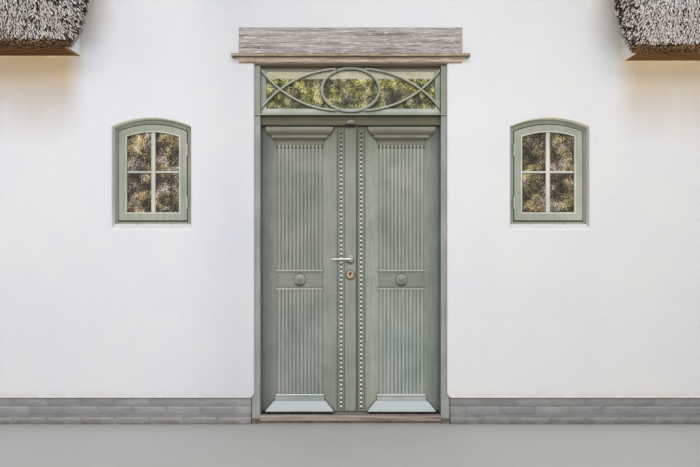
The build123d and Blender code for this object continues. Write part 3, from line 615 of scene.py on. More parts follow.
for side in ways:
    leaf_paint = make_sage(f"{side}_leaf", upright_grain, leaf_tints[side], jamb_shade=hinge_side_shade,
                           patch=head_shadow, dirt_and_shade_share=0.85)
    tinted_where(leaf_paint, under_transom, transom_shade)
    # Painted shadow: nearly black in the joint behind each base.
    tinted_where(leaf_paint, shadow_behind_base, (0.04, 0.04, 0.03))
    dress(leaf_paint, f"{side}_leaf")
    reed_paint = make_sage(f"{side}_reeds", upright_grain, reed_tints[side], dirt_and_shade_share=0.12)
    tinted_where(reed_paint, where("Z", *reed_foot_fade), (1.08, 1.12, 1.16))
    dress(reed_paint, f"{side}_reeded_panels")
meeting_paint = make_sage("meeting", upright_grain, (0.86, 0.86, 0.86), patch=head_shadow)
tinted_where(meeting_paint, under_transom, transom_shade)
tinted_where(meeting_paint, where("Z", *strip_foot_fade), (1.17, 1.18, 1.19))
lock_dirt_and_shadow = dirt_and_shadow_round("lock_escutcheon", drop=0.005, inner=0.033, outer=0.044)
rose_shadow = dirt_and_shadow_round("handle_roses", drop=0.014, inner=0.022, outer=0.034)
# Dirt and a painted shadow round the lock, and a painted shadow below the lever's rose.
tinted_where(meeting_paint, lock_dirt_and_shadow, (0.3, 0.26, 0.18))
tinted_where(meeting_paint, rose_shadow, (0.35, 0.33, 0.26))
dress(meeting_paint, "meeting_strip")
print("the leaves reach z =", round(leaf_head, 3))

# %% [markdown]
# ## Paint on the pilasters
# Small mouldings are read by their edges. Each cap is painted in shade as a whole, with a
# painted shadow under its ovolo; its dentils' faces are painted pale as highlights and the
# gaps between them dark as shade. On each band the two ledges and the crown of the rosette
# are painted pale as highlights, and shade is painted in its fine grooves and on the
# rosette's lower rim. The fillet on each base is painted pale as a highlight. Soft light
# alone leaves such small edges weak, so each is picked out by its height and depth.

# %% Caps and bases
dentil_head, dentil_face = 1.9705, wall_face + 0.082
ovolo_foot = 2.035
base_fillet = 0.1815


def dentil_light_and_shade(start, end):
    """Share for the row of dentils that grows from one depth behind their faces to another."""
    return lambda tree: times(tree, along(tree, "Z", dentil_head + 0.0008, dentil_head),
                              along(tree, "Y", dentil_face + start, dentil_face + end))


# Painted shade: the cap tinted darker, a shadow line under the ovolo, dark dentil gaps; painted highlights
# on dentil faces.
cap_paint = make_sage("cap", level_grain, (0.74, 0.7, 0.62), dirt_and_shade_share=1.0)
tinted_where(cap_paint, where("Z", ovolo_foot, ovolo_foot - 0.01), (0.72, 0.72, 0.68))
tinted_where(cap_paint, dentil_light_and_shade(0.0006, 0.0014), (0.2, 0.2, 0.16))
tinted_where(cap_paint, dentil_light_and_shade(0.0006, 0.0002), (2.0, 2.0, 2.1))
# Painted light: the bases are tinted paler, their upward faces paler still, and a highlight runs along each
# fillet.
base_paint = make_sage("base", level_grain, (1.3, 1.33, 1.4), crown=shade(184, 192, 195))
tinted_where(base_paint, where("Z", base_fillet, base_fillet + 0.0015), (1.55, 1.55, 1.55))
print("dentils end at z =", dentil_head)

# %% Bands with their rosettes
band_middle = middle_of("left_pilaster_band")
ledge_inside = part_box("left_pilaster_band")[1].z - band_middle.z - 0.010


def fine_groove_shade(tree):
    """1 in the corners and fine grooves of a band, where shade is painted."""
    return between_levels(tree, crevices(tree, 0.007), 0.9, 0.6)


def ledge_highlights(tree):
    """1 on the ledges along a band's head and foot, where a highlight is painted."""
    from_middle = computed(tree, "ABSOLUTE", past(tree, "Z", band_middle.z))
    return between_levels(tree, from_middle, ledge_inside - 0.001, ledge_inside + 0.001)


def round_rosette(tree, rise, radius):
    """Share for a disc on either band's rosette, its centre raised or lowered."""
    across = computed(tree, "SUBTRACT", off_middle(tree), -band_middle.x)
    to_centre = distance(tree, across, past(tree, "Z", band_middle.z + rise))
    return between_levels(tree, to_centre, radius + 0.004, radius - 0.004)


def rosette_shadow(tree):
    """The lower rim of a rosette and the band just below it, where a shadow is painted."""
    low_side = along(tree, "Z", band_middle.z - 0.018, band_middle.z - 0.034)
    return times(tree, round_rosette(tree, -0.007, 0.045), low_side)


def rosette_highlight(tree):
    """The upper half of a rosette, where a highlight is painted."""
    high_side = along(tree, "Z", band_middle.z + 0.005, band_middle.z + 0.03)
    return times(tree, round_rosette(tree, 0, 0.038), high_side)


# Painted shade in the grooves and under the rosette; painted highlights on the ledges and the rosette's
# upper half.
band_paint = make_sage("band", level_grain, (0.74, 0.74, 0.73), dirt_and_shade_share=1.0)
tinted_where(band_paint, fine_groove_shade, (0.34, 0.35, 0.28))
tinted_where(band_paint, ledge_highlights, (1.75, 1.75, 1.75))
tinted_where(band_paint, rosette_shadow, (0.32, 0.32, 0.27))
tinted_where(band_paint, rosette_highlight, (1.5, 1.5, 1.45))
for side in ways:
    dress(cap_paint, f"{side}_pilaster_cap")
    dress(base_paint, f"{side}_pilaster_base")
    dress(band_paint, f"{side}_pilaster_band")
print("rosettes", round(-band_middle.x, 3), "m from the middle")

# %% [markdown]
# ## Paint on the door frame and the fanlight
# The transom is painted dark, as the shade under its nosing, with the nosing's front kept
# pale, and its underside and foot are painted nearly black as shadow. The head of the frame,
# close under the lintel, is painted dark and brown, partly its own brown and partly painted
# shade. The fanlight's frame is painted paler at its foot, as the light falling there, and
# dark brown above the glass as painted shade. All of them take the one sage paint, tinted
# for their places, so that they stay of one family.

# %% Door frame and fanlight
transom_foot, transom_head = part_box("transom")[0].z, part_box("transom")[1].z
glass_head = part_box("fanlight_glass")[1].z
lit_foot_fade = (2.29, 2.24)
deep_underside_shade = shade(30, 27, 20)

jamb_paint = make_sage("jamb", upright_grain, (1.02, 1.02, 1.08),
                       patch=("Z", transom_head - 0.01, transom_head + 0.01, (0.98, 0.94, 0.86)))
# Painted shade: the frame head under the lintel is tinted dark and brown.
head_paint = make_sage("head", level_grain, (0.5, 0.3, 0.12))
# Painted shade: the transom's recessed face dark, its front kept pale, its underside and foot nearly black.
transom_paint = make_sage("transom", level_grain, (0.35, 0.28, 0.15), washed_and_lit_share=0.5, under=deep_underside_shade,
                          patch=("Y", wall_face + 0.03, wall_face + 0.02, (3.6, 4.4, 7.4)))
tinted_where(transom_paint, lambda tree: turned(tree, "Z", -0.5, -0.9), (0.1, 0.09, 0.07))
tinted_where(transom_paint, where("Z", transom_foot + 0.0085, transom_foot + 0.0055), (0.08, 0.08, 0.06))
# Painted light at the fanlight frame's foot, and painted shade, dark brown, above the glass.
fanlight_paint = make_sage("fanlight", level_grain, patch=("Z", *lit_foot_fade, (1.75, 1.68, 1.72)),
                           under=deep_underside_shade)
tinted_where(fanlight_paint, where("Z", glass_head - 0.004, glass_head + 0.002), (0.28, 0.17, 0.05))
dress(jamb_paint, "door_jambs")
dress(head_paint, "frame_head")
dress(transom_paint, "transom")
dress(fanlight_paint, "fanlight_frame")
print("transom from z =", round(transom_foot, 3), "to", round(transom_head, 3))

# %% [markdown]
# ## Paint on the small windows
# The casements and their bars are paler than the door. A dark joint runs round each
# casement where it meets its frame, with the casement's shadow painted into it: beside it,
# over its arch and, widest, under it. It could be cut as a groove, but it is only a few
# millimetres wide, so the frame's paint is darkened by its distance from the casement
# instead.

# %% Small windows
casement_low, casement_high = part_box("right_casement")
casement_middle = middle_of("right_casement").x
casement_half = (casement_high.x - casement_low.x) / 2
arch_radius = 0.6277
arch_centre = casement_high.z - arch_radius


def joint_and_shadow_round_casement(tree):
    """1 in the joint and painted shadow round each casement, falling to 0 at 9 mm outside it."""
    across = computed(tree, "SUBTRACT", off_middle(tree), casement_middle)
    over_arch = computed(tree, "SUBTRACT", distance(tree, across, past(tree, "Z", arch_centre)), arch_radius)
    beside = computed(tree, "SUBTRACT", computed(tree, "ABSOLUTE", across), casement_half)
    under = times(tree, past(tree, "Z", casement_low.z), -0.55)
    return between_levels(tree, computed(tree, "MAXIMUM", over_arch, beside, under), 0.009, 0.005)


window_paint = make_sage("window", upright_grain, (1.34, 1.27, 1.26))
bar_paint = make_sage("bar", upright_grain, (2.3, 2.15, 2.2), dirt_and_shade_share=0.9)
frame_paint = make_sage("window_frame", upright_grain, (1.1, 1.06, 0.98))
# Dark joint and painted shadow round each casement.
tinted_where(frame_paint, joint_and_shadow_round_casement, (0.1, 0.09, 0.07))
dress(window_paint, "left_casement", "right_casement")
dress(bar_paint, "glazing_beads")
dress(frame_paint, "left_window_frame", "right_window_frame")
print("casements", round(2 * casement_half, 3), "m wide")

# %% [markdown]
# ## Bare wood
# The lintel and the drip moulding are bare oak, silvered by rain. Long fibres stand up
# where the soft wood has worn away, so the same stretched noise drives colour and relief.
# Short pale flecks lie along the grain, and a sharper noise cuts the drying cracks.

# %% Bare wood
def make_bare_wood(name, dark, middle, light, grain=(2.4, 60, 60), cracks=1.0, flecks=0.0, light_and_shade_bands=None):
    """Weathered timber in three tones, with cracks, pale flecks and bands of painted light and shade if
    given.
    """
    material, tree = new_finish(name, 0.85)
    fibres = noise(tree, stretched(tree, grain), 1.0, 9, 0.7, 0.6)
    patches = noise(tree, stretched(tree), 6.5, 4, 0.6, 1.2)
    base = graded(tree, fibres, [(0.33, dark), (0.47, middle), (0.66, light)])
    base = tinted(tree, 0.45, base, graded(tree, patches, [(0.3, grey(0.72)), (0.7, grey(1.15))]))
    short_grain = tuple(3 * value if value > 10 else 7 * value for value in grain)
    spots = between_levels(tree, noise(tree, stretched(tree, short_grain), 1.0, 3, 0.5, 1.0), 0.57, 0.66)
    base = mixed(tree, times(tree, spots, flecks), base, shade(226, 220, 216))
    crack_grain = tuple(2.2 * value if value > 10 else 0.9 * value for value in grain)
    split = between_levels(tree, noise(tree, stretched(tree, crack_grain), 1.0, 5, 0.5, 0.8), 0.36, 0.31)
    split = times(tree, split, cracks)
    base = mixed(tree, split, base, shade(60, 51, 44))
    if light_and_shade_bands:
        start, end, stops = light_and_shade_bands
        base = tinted(tree, 1.0, base, graded(tree, along(tree, "Z", start, end), stops))
    coloured(tree, base)
    raised(tree, (fibres, 0.7, 0.006), (computed(tree, "SUBTRACT", 1.0, split), 0.6, 0.004))
    return material


# %% Lintel, drip moulding and roof timbers
drip_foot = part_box("drip_moulding")[0].z
# Painted light and shade in bands up the drip moulding, with a dark line under its fillet and a dark foot.
drip_shade_levels = ((0.0, 0.36), (0.12, 0.55), (0.22, 0.95), (0.5, 0.86), (0.6, 0.42), (0.65, 0.16), (0.72, 0.4),
               (0.8, 0.66), (0.92, 0.66), (1.0, 0.4))
drip_light_and_shade = [(place, grey(level)) for place, level in drip_shade_levels]
silvered_oak = make_bare_wood("silvered_oak", shade(108, 98, 92), shade(160, 150, 146), shade(198, 191, 188),
                              cracks=0.7, flecks=0.9)
brown_oak = make_bare_wood("brown_oak", shade(120, 92, 62), shade(206, 182, 150), shade(246, 232, 208),
                           grain=(7, 110, 110), flecks=0.5, light_and_shade_bands=(drip_foot, drip_foot + 0.05, drip_light_and_shade))
sawn_softwood = make_bare_wood("sawn_softwood", shade(150, 118, 82), shade(190, 158, 118),
                               shade(210, 184, 146), grain=(60, 5, 5), cracks=0.3)
dress(silvered_oak, "lintel_beam")
dress(brown_oak, "drip_moulding")
dress(sawn_softwood, "rafters", "wall_plates")
print("the drip moulding hangs at z =", round(drip_foot, 3))


# %% Threshold
def shadow_on_threshold(tree):
    """Painted shadow behind the bases, thinning out raggedly towards the front and the middle."""
    ragged = times(tree, noise(tree, stretched(tree), 22, 4), 0.05)
    across = computed(tree, "ADD", off_middle(tree), ragged)
    inwards = computed(tree, "ADD", place_axis(tree, "Y"), ragged)
    inner = along(tree, "Y", wall_face + 0.135, wall_face + 0.11)
    return times(tree, inner, between_levels(tree, across, 0.13, 0.16),
                 between_levels(tree, inwards, wall_face + 0.062, wall_face + 0.078))


worn_oak = make_bare_wood("worn_oak", shade(112, 98, 88), shade(156, 142, 132), shade(182, 172, 164),
                          cracks=0.7)
# Painted shadow, nearly black, behind the bases.
tinted_where(worn_oak, shadow_on_threshold, (0.07, 0.06, 0.05))
dress(worn_oak, "threshold")

# %% Boards at the eaves
board_foot_edge = 2.587

brown_board = make_bare_wood("brown_board", shade(82, 48, 4), shade(116, 72, 10), shade(150, 102, 24),
                             grain=(3, 40, 40), cracks=0.5)
# Painted shade: the soffit boards on the left are darker and browner.
tinted_where(brown_board, on_left, (0.76, 0.68, 0.4))
grey_board = make_bare_wood("grey_board", shade(236, 222, 214), shade(252, 240, 232), shade(255, 250, 246),
                            grain=(40, 5, 40), cracks=0.4)
tree = grey_board.node_tree
near_wall = along(tree, "Y", wall_face - 0.016, wall_face - 0.012)
foot_edge = along(tree, "Z", board_foot_edge + 0.0005, board_foot_edge - 0.0005)
right_board = mixed(tree, near_wall, finished_colour(tree), shade(250, 246, 242))
left_board = mixed(tree, foot_edge, shade(255, 254, 255), shade(150, 118, 86))
coloured(tree, mixed(tree, on_left(tree), right_board, left_board))
dress(brown_board, "soffit_boards")
dress(grey_board, "end_boards")
print("the soffit boards start at z =", round(soffit_level, 3))

# %% [markdown]
# ## Glass, metal and stone
# Old drawn glass is slightly wavy. From outside it hides a dark room and mirrors daylight,
# broken into small flecks of gold, green and brown. A clear pane would need a furnished
# room behind it and a view in front, so that reflection is painted instead: a fine noise
# through a graded colour, and a slower noise moves the palette from place to place. Metals
# stay simple, with fine scratches in their tone, dirt and painted shade in their hollows,
# painted shade underneath and painted highlights on top.

# %% Glass
def make_glass(name, first, second, pale_from=None):
    """Old window glass, glossy, with a reflection painted as flecks in two palettes, paler above one level
    if given.
    """
    material, tree = new_finish(name, 0.05)
    shader = tree.nodes["Principled BSDF"]
    shader.inputs["Transmission Weight"].default_value = 0.08
    shader.inputs["IOR"].default_value = 1.45
    place = stretched(tree)
    flecks = noise(tree, place, 118, 4, 0.85, 0.5)
    flecks = computed(tree, "ADD", flecks, times(tree, noise(tree, place, 15, 3), 0.5))
    flecks = computed(tree, "SUBTRACT", flecks, 0.25)
    lively, quiet = (graded(tree, flecks, list(zip((0.41, 0.49, 0.56, 0.64), palette)))
                     for palette in (first, second))
    base = mixed(tree, between_levels(tree, noise(tree, place, 8, 2), 0.44, 0.56), lively, quiet)
    if pale_from:
        edge = computed(tree, "ADD", place_axis(tree, "Z"), times(tree, flecks, 0.02))
        pale = graded(tree, flecks, [(0.35, shade(172, 167, 138)), (0.65, shade(208, 205, 180))])
        base = mixed(tree, between_levels(tree, edge, pale_from, pale_from + 0.006), base, pale)
    coloured(tree, base)
    raised(tree, (noise(tree, place, 14, 2), 0.15, 0.002))
    return material


# The fanlight's pale band under its head is part of the painted reflection.
pale_reflection_level = 2.444
low_shade_fade = (2.36, 2.26)
# Painted reflections, in four palettes of flecks.
gold_reflection = (shade(18, 16, 10), shade(58, 54, 34), shade(142, 122, 74), shade(255, 236, 184))
pink_reflection = (shade(18, 13, 11), shade(56, 48, 40), shade(138, 118, 100), shade(255, 238, 230))
green_reflection = (shade(36, 40, 20), shade(88, 90, 46), shade(186, 178, 84), shade(255, 246, 190))
dusk_reflection = (shade(40, 44, 34), shade(70, 72, 52), shade(128, 124, 84), shade(226, 214, 170))
window_pane = make_glass("window_pane", gold_reflection, pink_reflection)
# Painted reflection: the right window's reflection is a little darker and yellower.
tinted_where(window_pane, where("X", -0.1, 0.1), (0.78, 0.78, 0.66))
dress(window_pane, "window_glass")
fanlight_pane = make_glass("fanlight_pane", green_reflection, dusk_reflection, pale_reflection_level)
tinted_where(fanlight_pane, where("Z", *low_shade_fade), (0.78, 0.8, 0.84))
dress(fanlight_pane, "fanlight_glass")
print("the fanlight is pale from z =", pale_reflection_level)


# %% Metal
def make_metal(name, colour, roughness, dirt_and_shade, crown=None):
    """Metal with fine scratches, dirt and painted shade in hollows, painted shade underneath, and a painted
    highlight on a crown if given.
    """
    material, tree = new_finish(name, roughness, 1.0)
    scratches = noise(tree, stretched(tree, (400, 60, 60)), 1.0, 3)
    worn = mixed(tree, between_levels(tree, scratches, 0.3, 0.7), colour, mixed(tree, 0.25, colour, grey(1)))
    hollow_dirt_and_shade = between_levels(tree, crevices(tree, 0.006), 0.85, 0.35)
    worn = mixed(tree, times(tree, hollow_dirt_and_shade, 0.7), worn, dirt_and_shade)
    # Painted shade underneath, and a painted highlight on the crown.
    worn = mixed(tree, turned(tree, "Z", 0.12, -0.12), worn, dirt_and_shade)
    coloured(tree, mixed(tree, turned(tree, "Z", 0.35, 0.75), worn, crown or colour))
    raised(tree, (scratches, 0.1, 0.0004))
    return material


# %% Ironwork, lock and footing
lever_level = middle_of("lever_handle").z
lever_steel = make_metal("lever_steel", shade(196, 195, 190), 0.34, shade(14, 13, 10), shade(250, 250, 248))
# Painted shade: the lever's lower edge is nearly black.
tinted_where(lever_steel, where("Z", lever_level - 0.0015, lever_level - 0.003), (0.01, 0.01, 0.01))
rose_steel = make_metal("rose_steel", shade(110, 108, 96), 0.4, shade(36, 32, 24), shade(244, 242, 238))
worn_brass = make_metal("worn_brass", shade(128, 110, 80), 0.4, shade(56, 38, 16), shade(232, 210, 172))
hinge_steel = make_metal("hinge_steel", shade(178, 178, 176), 0.4, shade(60, 58, 52))
footing_stone = speckled_finish("footing_stone", 0.9, 16, 6, shade(86, 76, 68), shade(126, 116, 104),
                                coarseness=0.6, relief=(0.8, 0.01))
dress(lever_steel, "lever_handle")
dress(rose_steel, "handle_roses")
dress(worn_brass, "lock_escutcheon")
dress(hinge_steel, "hinge_pins", "left_hinge_sockets", "right_hinge_sockets")
dress(footing_stone, "door_footing")
print("finishes made:", len(bpy.data.materials))

# %% [markdown]
# ## Helpers for new pieces
# A new piece starts as a bmesh. Where hundreds of copies are needed, such as bricks, beads
# or reeds, one small template is repeated by a table of placements into a single joined
# mesh, and each copy keeps its own tone in an attribute that the finish reads.

# %% Shapes
def at(x, depth, z):
    """Point given by its depth in millimetres behind the plaster's face."""
    return Vector((x, wall_face + depth / 1000, z))


def cylinder(bm, radius, length, start, direction, segments=16, tip=None):
    """Closed cylinder, or cone frustum with a tip radius, from its start along a direction."""
    direction = Vector(direction).normalized()
    turn = direction.to_track_quat("Z", "Y").to_matrix().to_4x4()
    middle = Vector(start) + direction * (length / 2)
    bmesh.ops.create_cone(bm, cap_ends=True, segments=segments, radius1=radius,
                          radius2=radius if tip is None else tip, depth=length,
                          matrix=Matrix.Translation(middle) @ turn)


def span(way, near, far):
    """Low and high x of a stretch on one side of the doorway."""
    return sorted((way * near, way * far))


def block(bm, low, high):
    """Rectangular block between two corners."""
    low, high = Vector(low), Vector(high)
    place = Matrix.Translation((low + high) / 2) @ Matrix.Diagonal((*(high - low), 1))
    return bmesh.ops.create_cube(bm, size=1, matrix=place)["verts"]


def edges_at(verts):
    """Edges that end at any of the given vertices, each once and always in the same order."""
    return list(dict.fromkeys(edge for vert in verts for edge in vert.link_edges))


def eased(bm, edges, radius, segments):
    """Bevel the given edges to a round."""
    bmesh.ops.bevel(bm, geom=edges, offset=radius, offset_type="OFFSET", affect="EDGES",
                    segments=segments, profile=0.5, material=-1, clamp_overlap=True)


def rounded(bm, verts, radius, segments=1):
    """Bevel every edge between the given vertices."""
    chosen = set(verts)
    eased(bm, [edge for edge in bm.edges if set(edge.verts) <= chosen], radius, segments)


def swept_wire(bm, radius, section_place, centre, axis, angle, steps):
    """Round wire whose section is swept round a centre."""
    section = bmesh.ops.create_circle(bm, cap_ends=False, segments=8, radius=radius,
                                      matrix=section_place)["verts"]
    bmesh.ops.spin(bm, geom=section + edges_at(section), cent=centre, axis=axis, dvec=(0, 0, 0),
                   angle=radians(angle), steps=steps, use_merge=angle == 360)


# %% Pieces
def show(mesh, finish, body="house_front", smooth=False):
    """Object named as its finished mesh, dressed and riding on its body."""
    mesh.materials.append(finish)
    if smooth:
        mesh.polygons.foreach_set("use_smooth", [True] * len(mesh.polygons))
    piece = bpy.data.objects.new(mesh.name, mesh)
    bpy.context.scene.collection.objects.link(piece)
    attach(piece, body)
    print(piece.name, "has", len(mesh.polygons), "faces")
    return piece


def piece_from(bm, name, finish, body="house_front", smooth=False):
    """Object from a bmesh, with its normals facing outwards."""
    bmesh.ops.recalc_face_normals(bm, faces=bm.faces)
    mesh = bpy.data.meshes.new(name)
    bm.to_mesh(mesh)
    bm.free()
    return show(mesh, finish, body, smooth)


def joined_copies(template, placements, tones, name, limits=None):
    """One mesh of many copies of a template bmesh, each with its tone, cut flush at the limits."""
    bmesh.ops.recalc_face_normals(template, faces=template.faces)
    corners = np.array([[*vert.co, 1.0] for vert in template.verts])
    loops = [[vert.index for vert in face.verts] for face in template.faces]
    placements, tones = np.asarray(placements, float), np.asarray(tones, float)
    spread = np.einsum("nij,vj->nvi", placements, corners)[:, :, :3]
    if limits:
        middles = spread.mean(axis=1)
        inside = ((middles > np.array(limits[0])) & (middles < np.array(limits[1]))).all(axis=1)
        spread = np.clip(spread[inside], limits[0], limits[1])
        tones = tones[inside]
    count, corner_count = len(tones), len(corners)
    sizes = np.array([len(loop) for loop in loops])
    flat = np.concatenate([np.array(loop) for loop in loops])
    shifts = np.repeat(np.arange(count) * corner_count, len(flat))
    starts = np.concatenate([[0], np.cumsum(np.tile(sizes, count))[:-1]])
    mesh = bpy.data.meshes.new(name)
    mesh.vertices.add(count * corner_count)
    mesh.vertices.foreach_set("co", spread.ravel())
    mesh.loops.add(count * len(flat))
    mesh.loops.foreach_set("vertex_index", np.tile(flat, count) + shifts)
    mesh.polygons.add(count * len(sizes))
    mesh.polygons.foreach_set("loop_start", starts)
    mesh.update(calc_edges=True)
    attribute = mesh.attributes.new("tone", "FLOAT", "POINT")
    attribute.data.foreach_set("value", np.repeat(tones, corner_count))
    template.free()
    return mesh


def tone_of(tree):
    """The tone that each copy carries."""
    node = tree.nodes.new("ShaderNodeAttribute")
    node.attribute_name = "tone"
    return node.outputs["Fac"]


# %% [markdown]
# ## Painted brick plinth
# The plinth is three courses of brick under grey paint. Real bricks are modelled one by one
# and set a little unevenly in a mortar bed, so the joints catch light. They lie in three
# rows through the wall's thickness, in running bond, cut where the wall ends.

# %% Plinth paint
plinth_low, plinth_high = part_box("brick_plinth")


def make_plinth_paint(name, dark, middle, light):
    """Thick grey paint over brick, chalky, with splashes near the ground, painted highlights on what looks
    up and a painted shadow under the plaster's lip.
    """
    material, tree = new_finish(name, 0.8)
    cloud = noise(tree, stretched(tree, (6, 6, 22)), 1.0, 6, 0.65)
    base = graded(tree, cloud, [(0.32, dark), (0.5, middle), (0.7, light)])
    base = tinted(tree, 1.0, base, graded(tree, tone_of(tree), [(0, grey(0.88)), (1, grey(1.1))]))
    splash = times(tree, along(tree, "Z", 0.06, 0.0),
                   between_levels(tree, noise(tree, stretched(tree), 14, 4), 0.35, 0.65))
    base = mixed(tree, splash, base, shade(118, 112, 100))
    # Painted highlight on what looks up; painted shadow under the plaster's lip.
    base = mixed(tree, times(tree, turned(tree, "Z", 0.2, 0.6), 0.7), base, shade(190, 190, 188))
    shadow_under_lip = along(tree, "Z", plinth_high.z - 0.013, plinth_high.z - 0.006)
    coloured(tree, mixed(tree, times(tree, shadow_under_lip, 0.85), base, shade(84, 70, 58)))
    raised(tree, (noise(tree, stretched(tree), 45, 5, 0.65), 0.5, 0.004))
    tinted_where(material, where("X", -0.5, 0.5), (0.86, 0.86, 0.85))
    return material


brick_paint = make_plinth_paint("brick_paint", shade(134, 135, 135), shade(144, 145, 144),
                                shade(154, 154, 153))
joint_paint = make_plinth_paint("joint_paint", shade(128, 128, 128), shade(146, 146, 145),
                                shade(160, 159, 157))
print("the plinth is", round(plinth_high.z, 3), "m high")

# %% Bricks
brick_pitch, course_pitch, joint = 0.240, 0.0667, 0.009
courses, wythes = 3, 3
depth_pitch = (plinth_high.y - plinth_low.y + joint) / wythes
ground_gap = 0.0015
lowest_head = course_pitch - joint - 0.011
shortest_brick = 0.02
door_edge = 0.7


def brick_ends(offset):
    """Where each brick of a row starts and ends, to one side of the doorway."""
    start = door_edge - offset
    while start < plinth_high.x:
        near, far = max(start, door_edge), min(start + brick_pitch - joint, plinth_high.x)
        start += brick_pitch
        if far - near >= shortest_brick:
            yield near, far


brick = bmesh.new()
whole_brick = Vector((brick_pitch - joint, 0.118, course_pitch - joint))
rounded(brick, block(brick, -whole_brick / 2, whole_brick / 2), 0.004)
brick_places, brick_tones = [], []
pick = random.Random(4)
for way, course, row in product(ways.values(), range(courses), range(wythes)):
    foot = max(plinth_high.z - (courses - course) * course_pitch + joint, ground_gap)
    head = min(foot + course_pitch - joint, plinth_high.z) if course else lowest_head
    first_y = plinth_low.y + row * depth_pitch
    for near, far in brick_ends((course + row) % 2 * brick_pitch / 2):
        size = Vector((far - near, depth_pitch - joint, head - foot))
        middle = Vector((way * (near + far) / 2, first_y + size.y / 2, (foot + head) / 2))
        size.y -= pick.uniform(0, 0.003)
        tilt = Matrix.Rotation(radians(pick.uniform(-0.4, 0.4)), 4, "Y")
        share = [part / whole for part, whole in zip(size, whole_brick)]
        brick_places.append(Matrix.Translation(middle) @ tilt @ Matrix.Diagonal((*share, 1)))
        brick_tones.append(pick.random())
bricks = show(joined_copies(brick, brick_places, brick_tones, "plinth_bricks", (cad_low, cad_high)),
              brick_paint)
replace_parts(bricks, "brick_plinth")
print("bricks:", len(brick_places))

# %% Mortar
mortar_setback = 0.0035

mortar = bmesh.new()
for way in ways.values():
    low_x, high_x = span(way, door_edge + mortar_setback, plinth_high.x - mortar_setback)
    block(mortar, (low_x, plinth_low.y + mortar_setback, plinth_low.z),
          (high_x, plinth_high.y - mortar_setback, plinth_high.z))
piece_from(mortar, "plinth_mortar", joint_paint)

# %% [markdown]
# ## Plaster lip
# Where the plaster ends above the plinth it was trimmed by hand, so a thin ragged lip hangs
# a few millimetres over the bricks. A bump wouldn't change its outline, so a long strip is
# cut into short lengths and its lower corners are moved a little up and down.

# %% Plaster lip
lip_drop, lip_height = 0.004, 0.016
lip_front, lip_back = 0.6, 11
lip_cuts, lip_ripple = 110, 0.0022

lip = bmesh.new()
for way in ways.values():
    low_x, high_x = span(way, door_edge + 0.008, cad_high.x - 0.001)
    strip = block(lip, at(low_x, lip_front, plaster_foot - lip_drop),
                  at(high_x, lip_back, plaster_foot + lip_height))
    long_edges = [edge for edge in edges_at(strip) if abs(edge.verts[0].co.x - edge.verts[1].co.x) > 0.1]
    bmesh.ops.subdivide_edges(lip, edges=long_edges, cuts=lip_cuts)
bmesh.ops.recalc_face_normals(lip, faces=lip.faces)
pick = random.Random(17)
waves = [(pick.uniform(9, 60), pick.uniform(0, 6.3), pick.uniform(0.2, 1)) for _ in range(9)]
for vert in lip.verts:
    if vert.co.z < plaster_foot:
        ripple = sum(size * sin(rate * vert.co.x + shift) for rate, shift, size in waves)
        vert.co.z += lip_ripple * ripple / 2
        if vert.co.y < wall_face + 0.005:
            vert.co.z += lip_ripple
piece_from(lip, "plaster_lip", limewash, smooth=True)

# %% [markdown]
# ## Thatch
# At the eave the reeds are cut off and dressed upwards, so each one shows a short slanting
# length and its end. A core a little inside the solid's surface is painted nearly black, as
# the shade in the mass behind, and thousands of short reeds stand out of it as far as the
# solid's own face. They run down the roof's slope, and lean more and more towards the end of
# each coat, where they are also given browner, darker tones as painted shade, as are the
# reeds sunk deepest. Underneath they keep their fresh brown. A relief in the finish would be
# quicker, but the coat's outline would stay as smooth as a board.

# %% Thatch core
reed_stand = 0.020
eave_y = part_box("soffit_boards")[0].y
print("reeds stand", round(reed_stand * 1000), "mm out of the core")


def part_of_coat(normal, middle, way):
    """Which part of the coat a face belongs to, or none where reeds don't show."""
    if normal.z < -0.55:
        return "underside" if middle.y < eave_y else None
    if normal.x * way < -0.45:
        return "lap"
    if normal.z > 0.4 and middle.z < cad_high.z - 0.001:
        return "slope"
    return "butt" if normal.y < -0.3 or normal.x * way < -0.3 else None


def thatch_core(name, way, finish):
    """The coat's solid drawn in where reeds will cover it; returns the outer triangles by part."""
    bm = bmesh.new()
    bm.from_mesh(nodes[name].data)
    bmesh.ops.remove_doubles(bm, verts=bm.verts, dist=0.0002)
    bmesh.ops.recalc_face_normals(bm, faces=bm.faces)
    bm.normal_update()
    parts, pull = {}, {}
    for face in bm.faces:
        part = part_of_coat(face.normal, face.calc_center_median(), way)
        if part:
            parts.setdefault(part, []).append(([vert.co.copy() for vert in face.verts], face.normal.copy()))
            for vert in face.verts:
                pull[vert] = pull.get(vert, Vector()) + face.normal * face.calc_area()
    for vert, direction in pull.items():
        vert.co -= direction.normalized() * reed_stand
        vert.co.y = min(vert.co.y, cad_high.y)
    core = piece_from(bm, f"{name}_core", finish)
    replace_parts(core, name)
    return parts


# %% Reed finishes
def make_reed_finish(name, dark, middle, light, pale):
    """Weathered reed in four tones, each reed with its own, and painted shade in the gaps between reeds."""
    material, tree = new_finish(name, 0.75)
    base = graded(tree, tone_of(tree), [(0.0, dark), (0.3, middle), (0.62, light), (1.0, pale)])
    patches = graded(tree, noise(tree, stretched(tree), 5, 4), [(0.35, shade(222, 212, 198)),
                                                                (0.65, grey(1))])
    base = tinted(tree, 0.6, base, patches)
    # Painted shade: nearly black in the gaps between reeds.
    shade_between_reeds = between_levels(tree, crevices(tree, 0.012), 0.6, 0.2)
    coloured(tree, mixed(tree, times(tree, shade_between_reeds, 0.95), base, shade(24, 16, 10)))
    raised(tree, (noise(tree, stretched(tree), 300, 2), 0.2, 0.001))
    return material


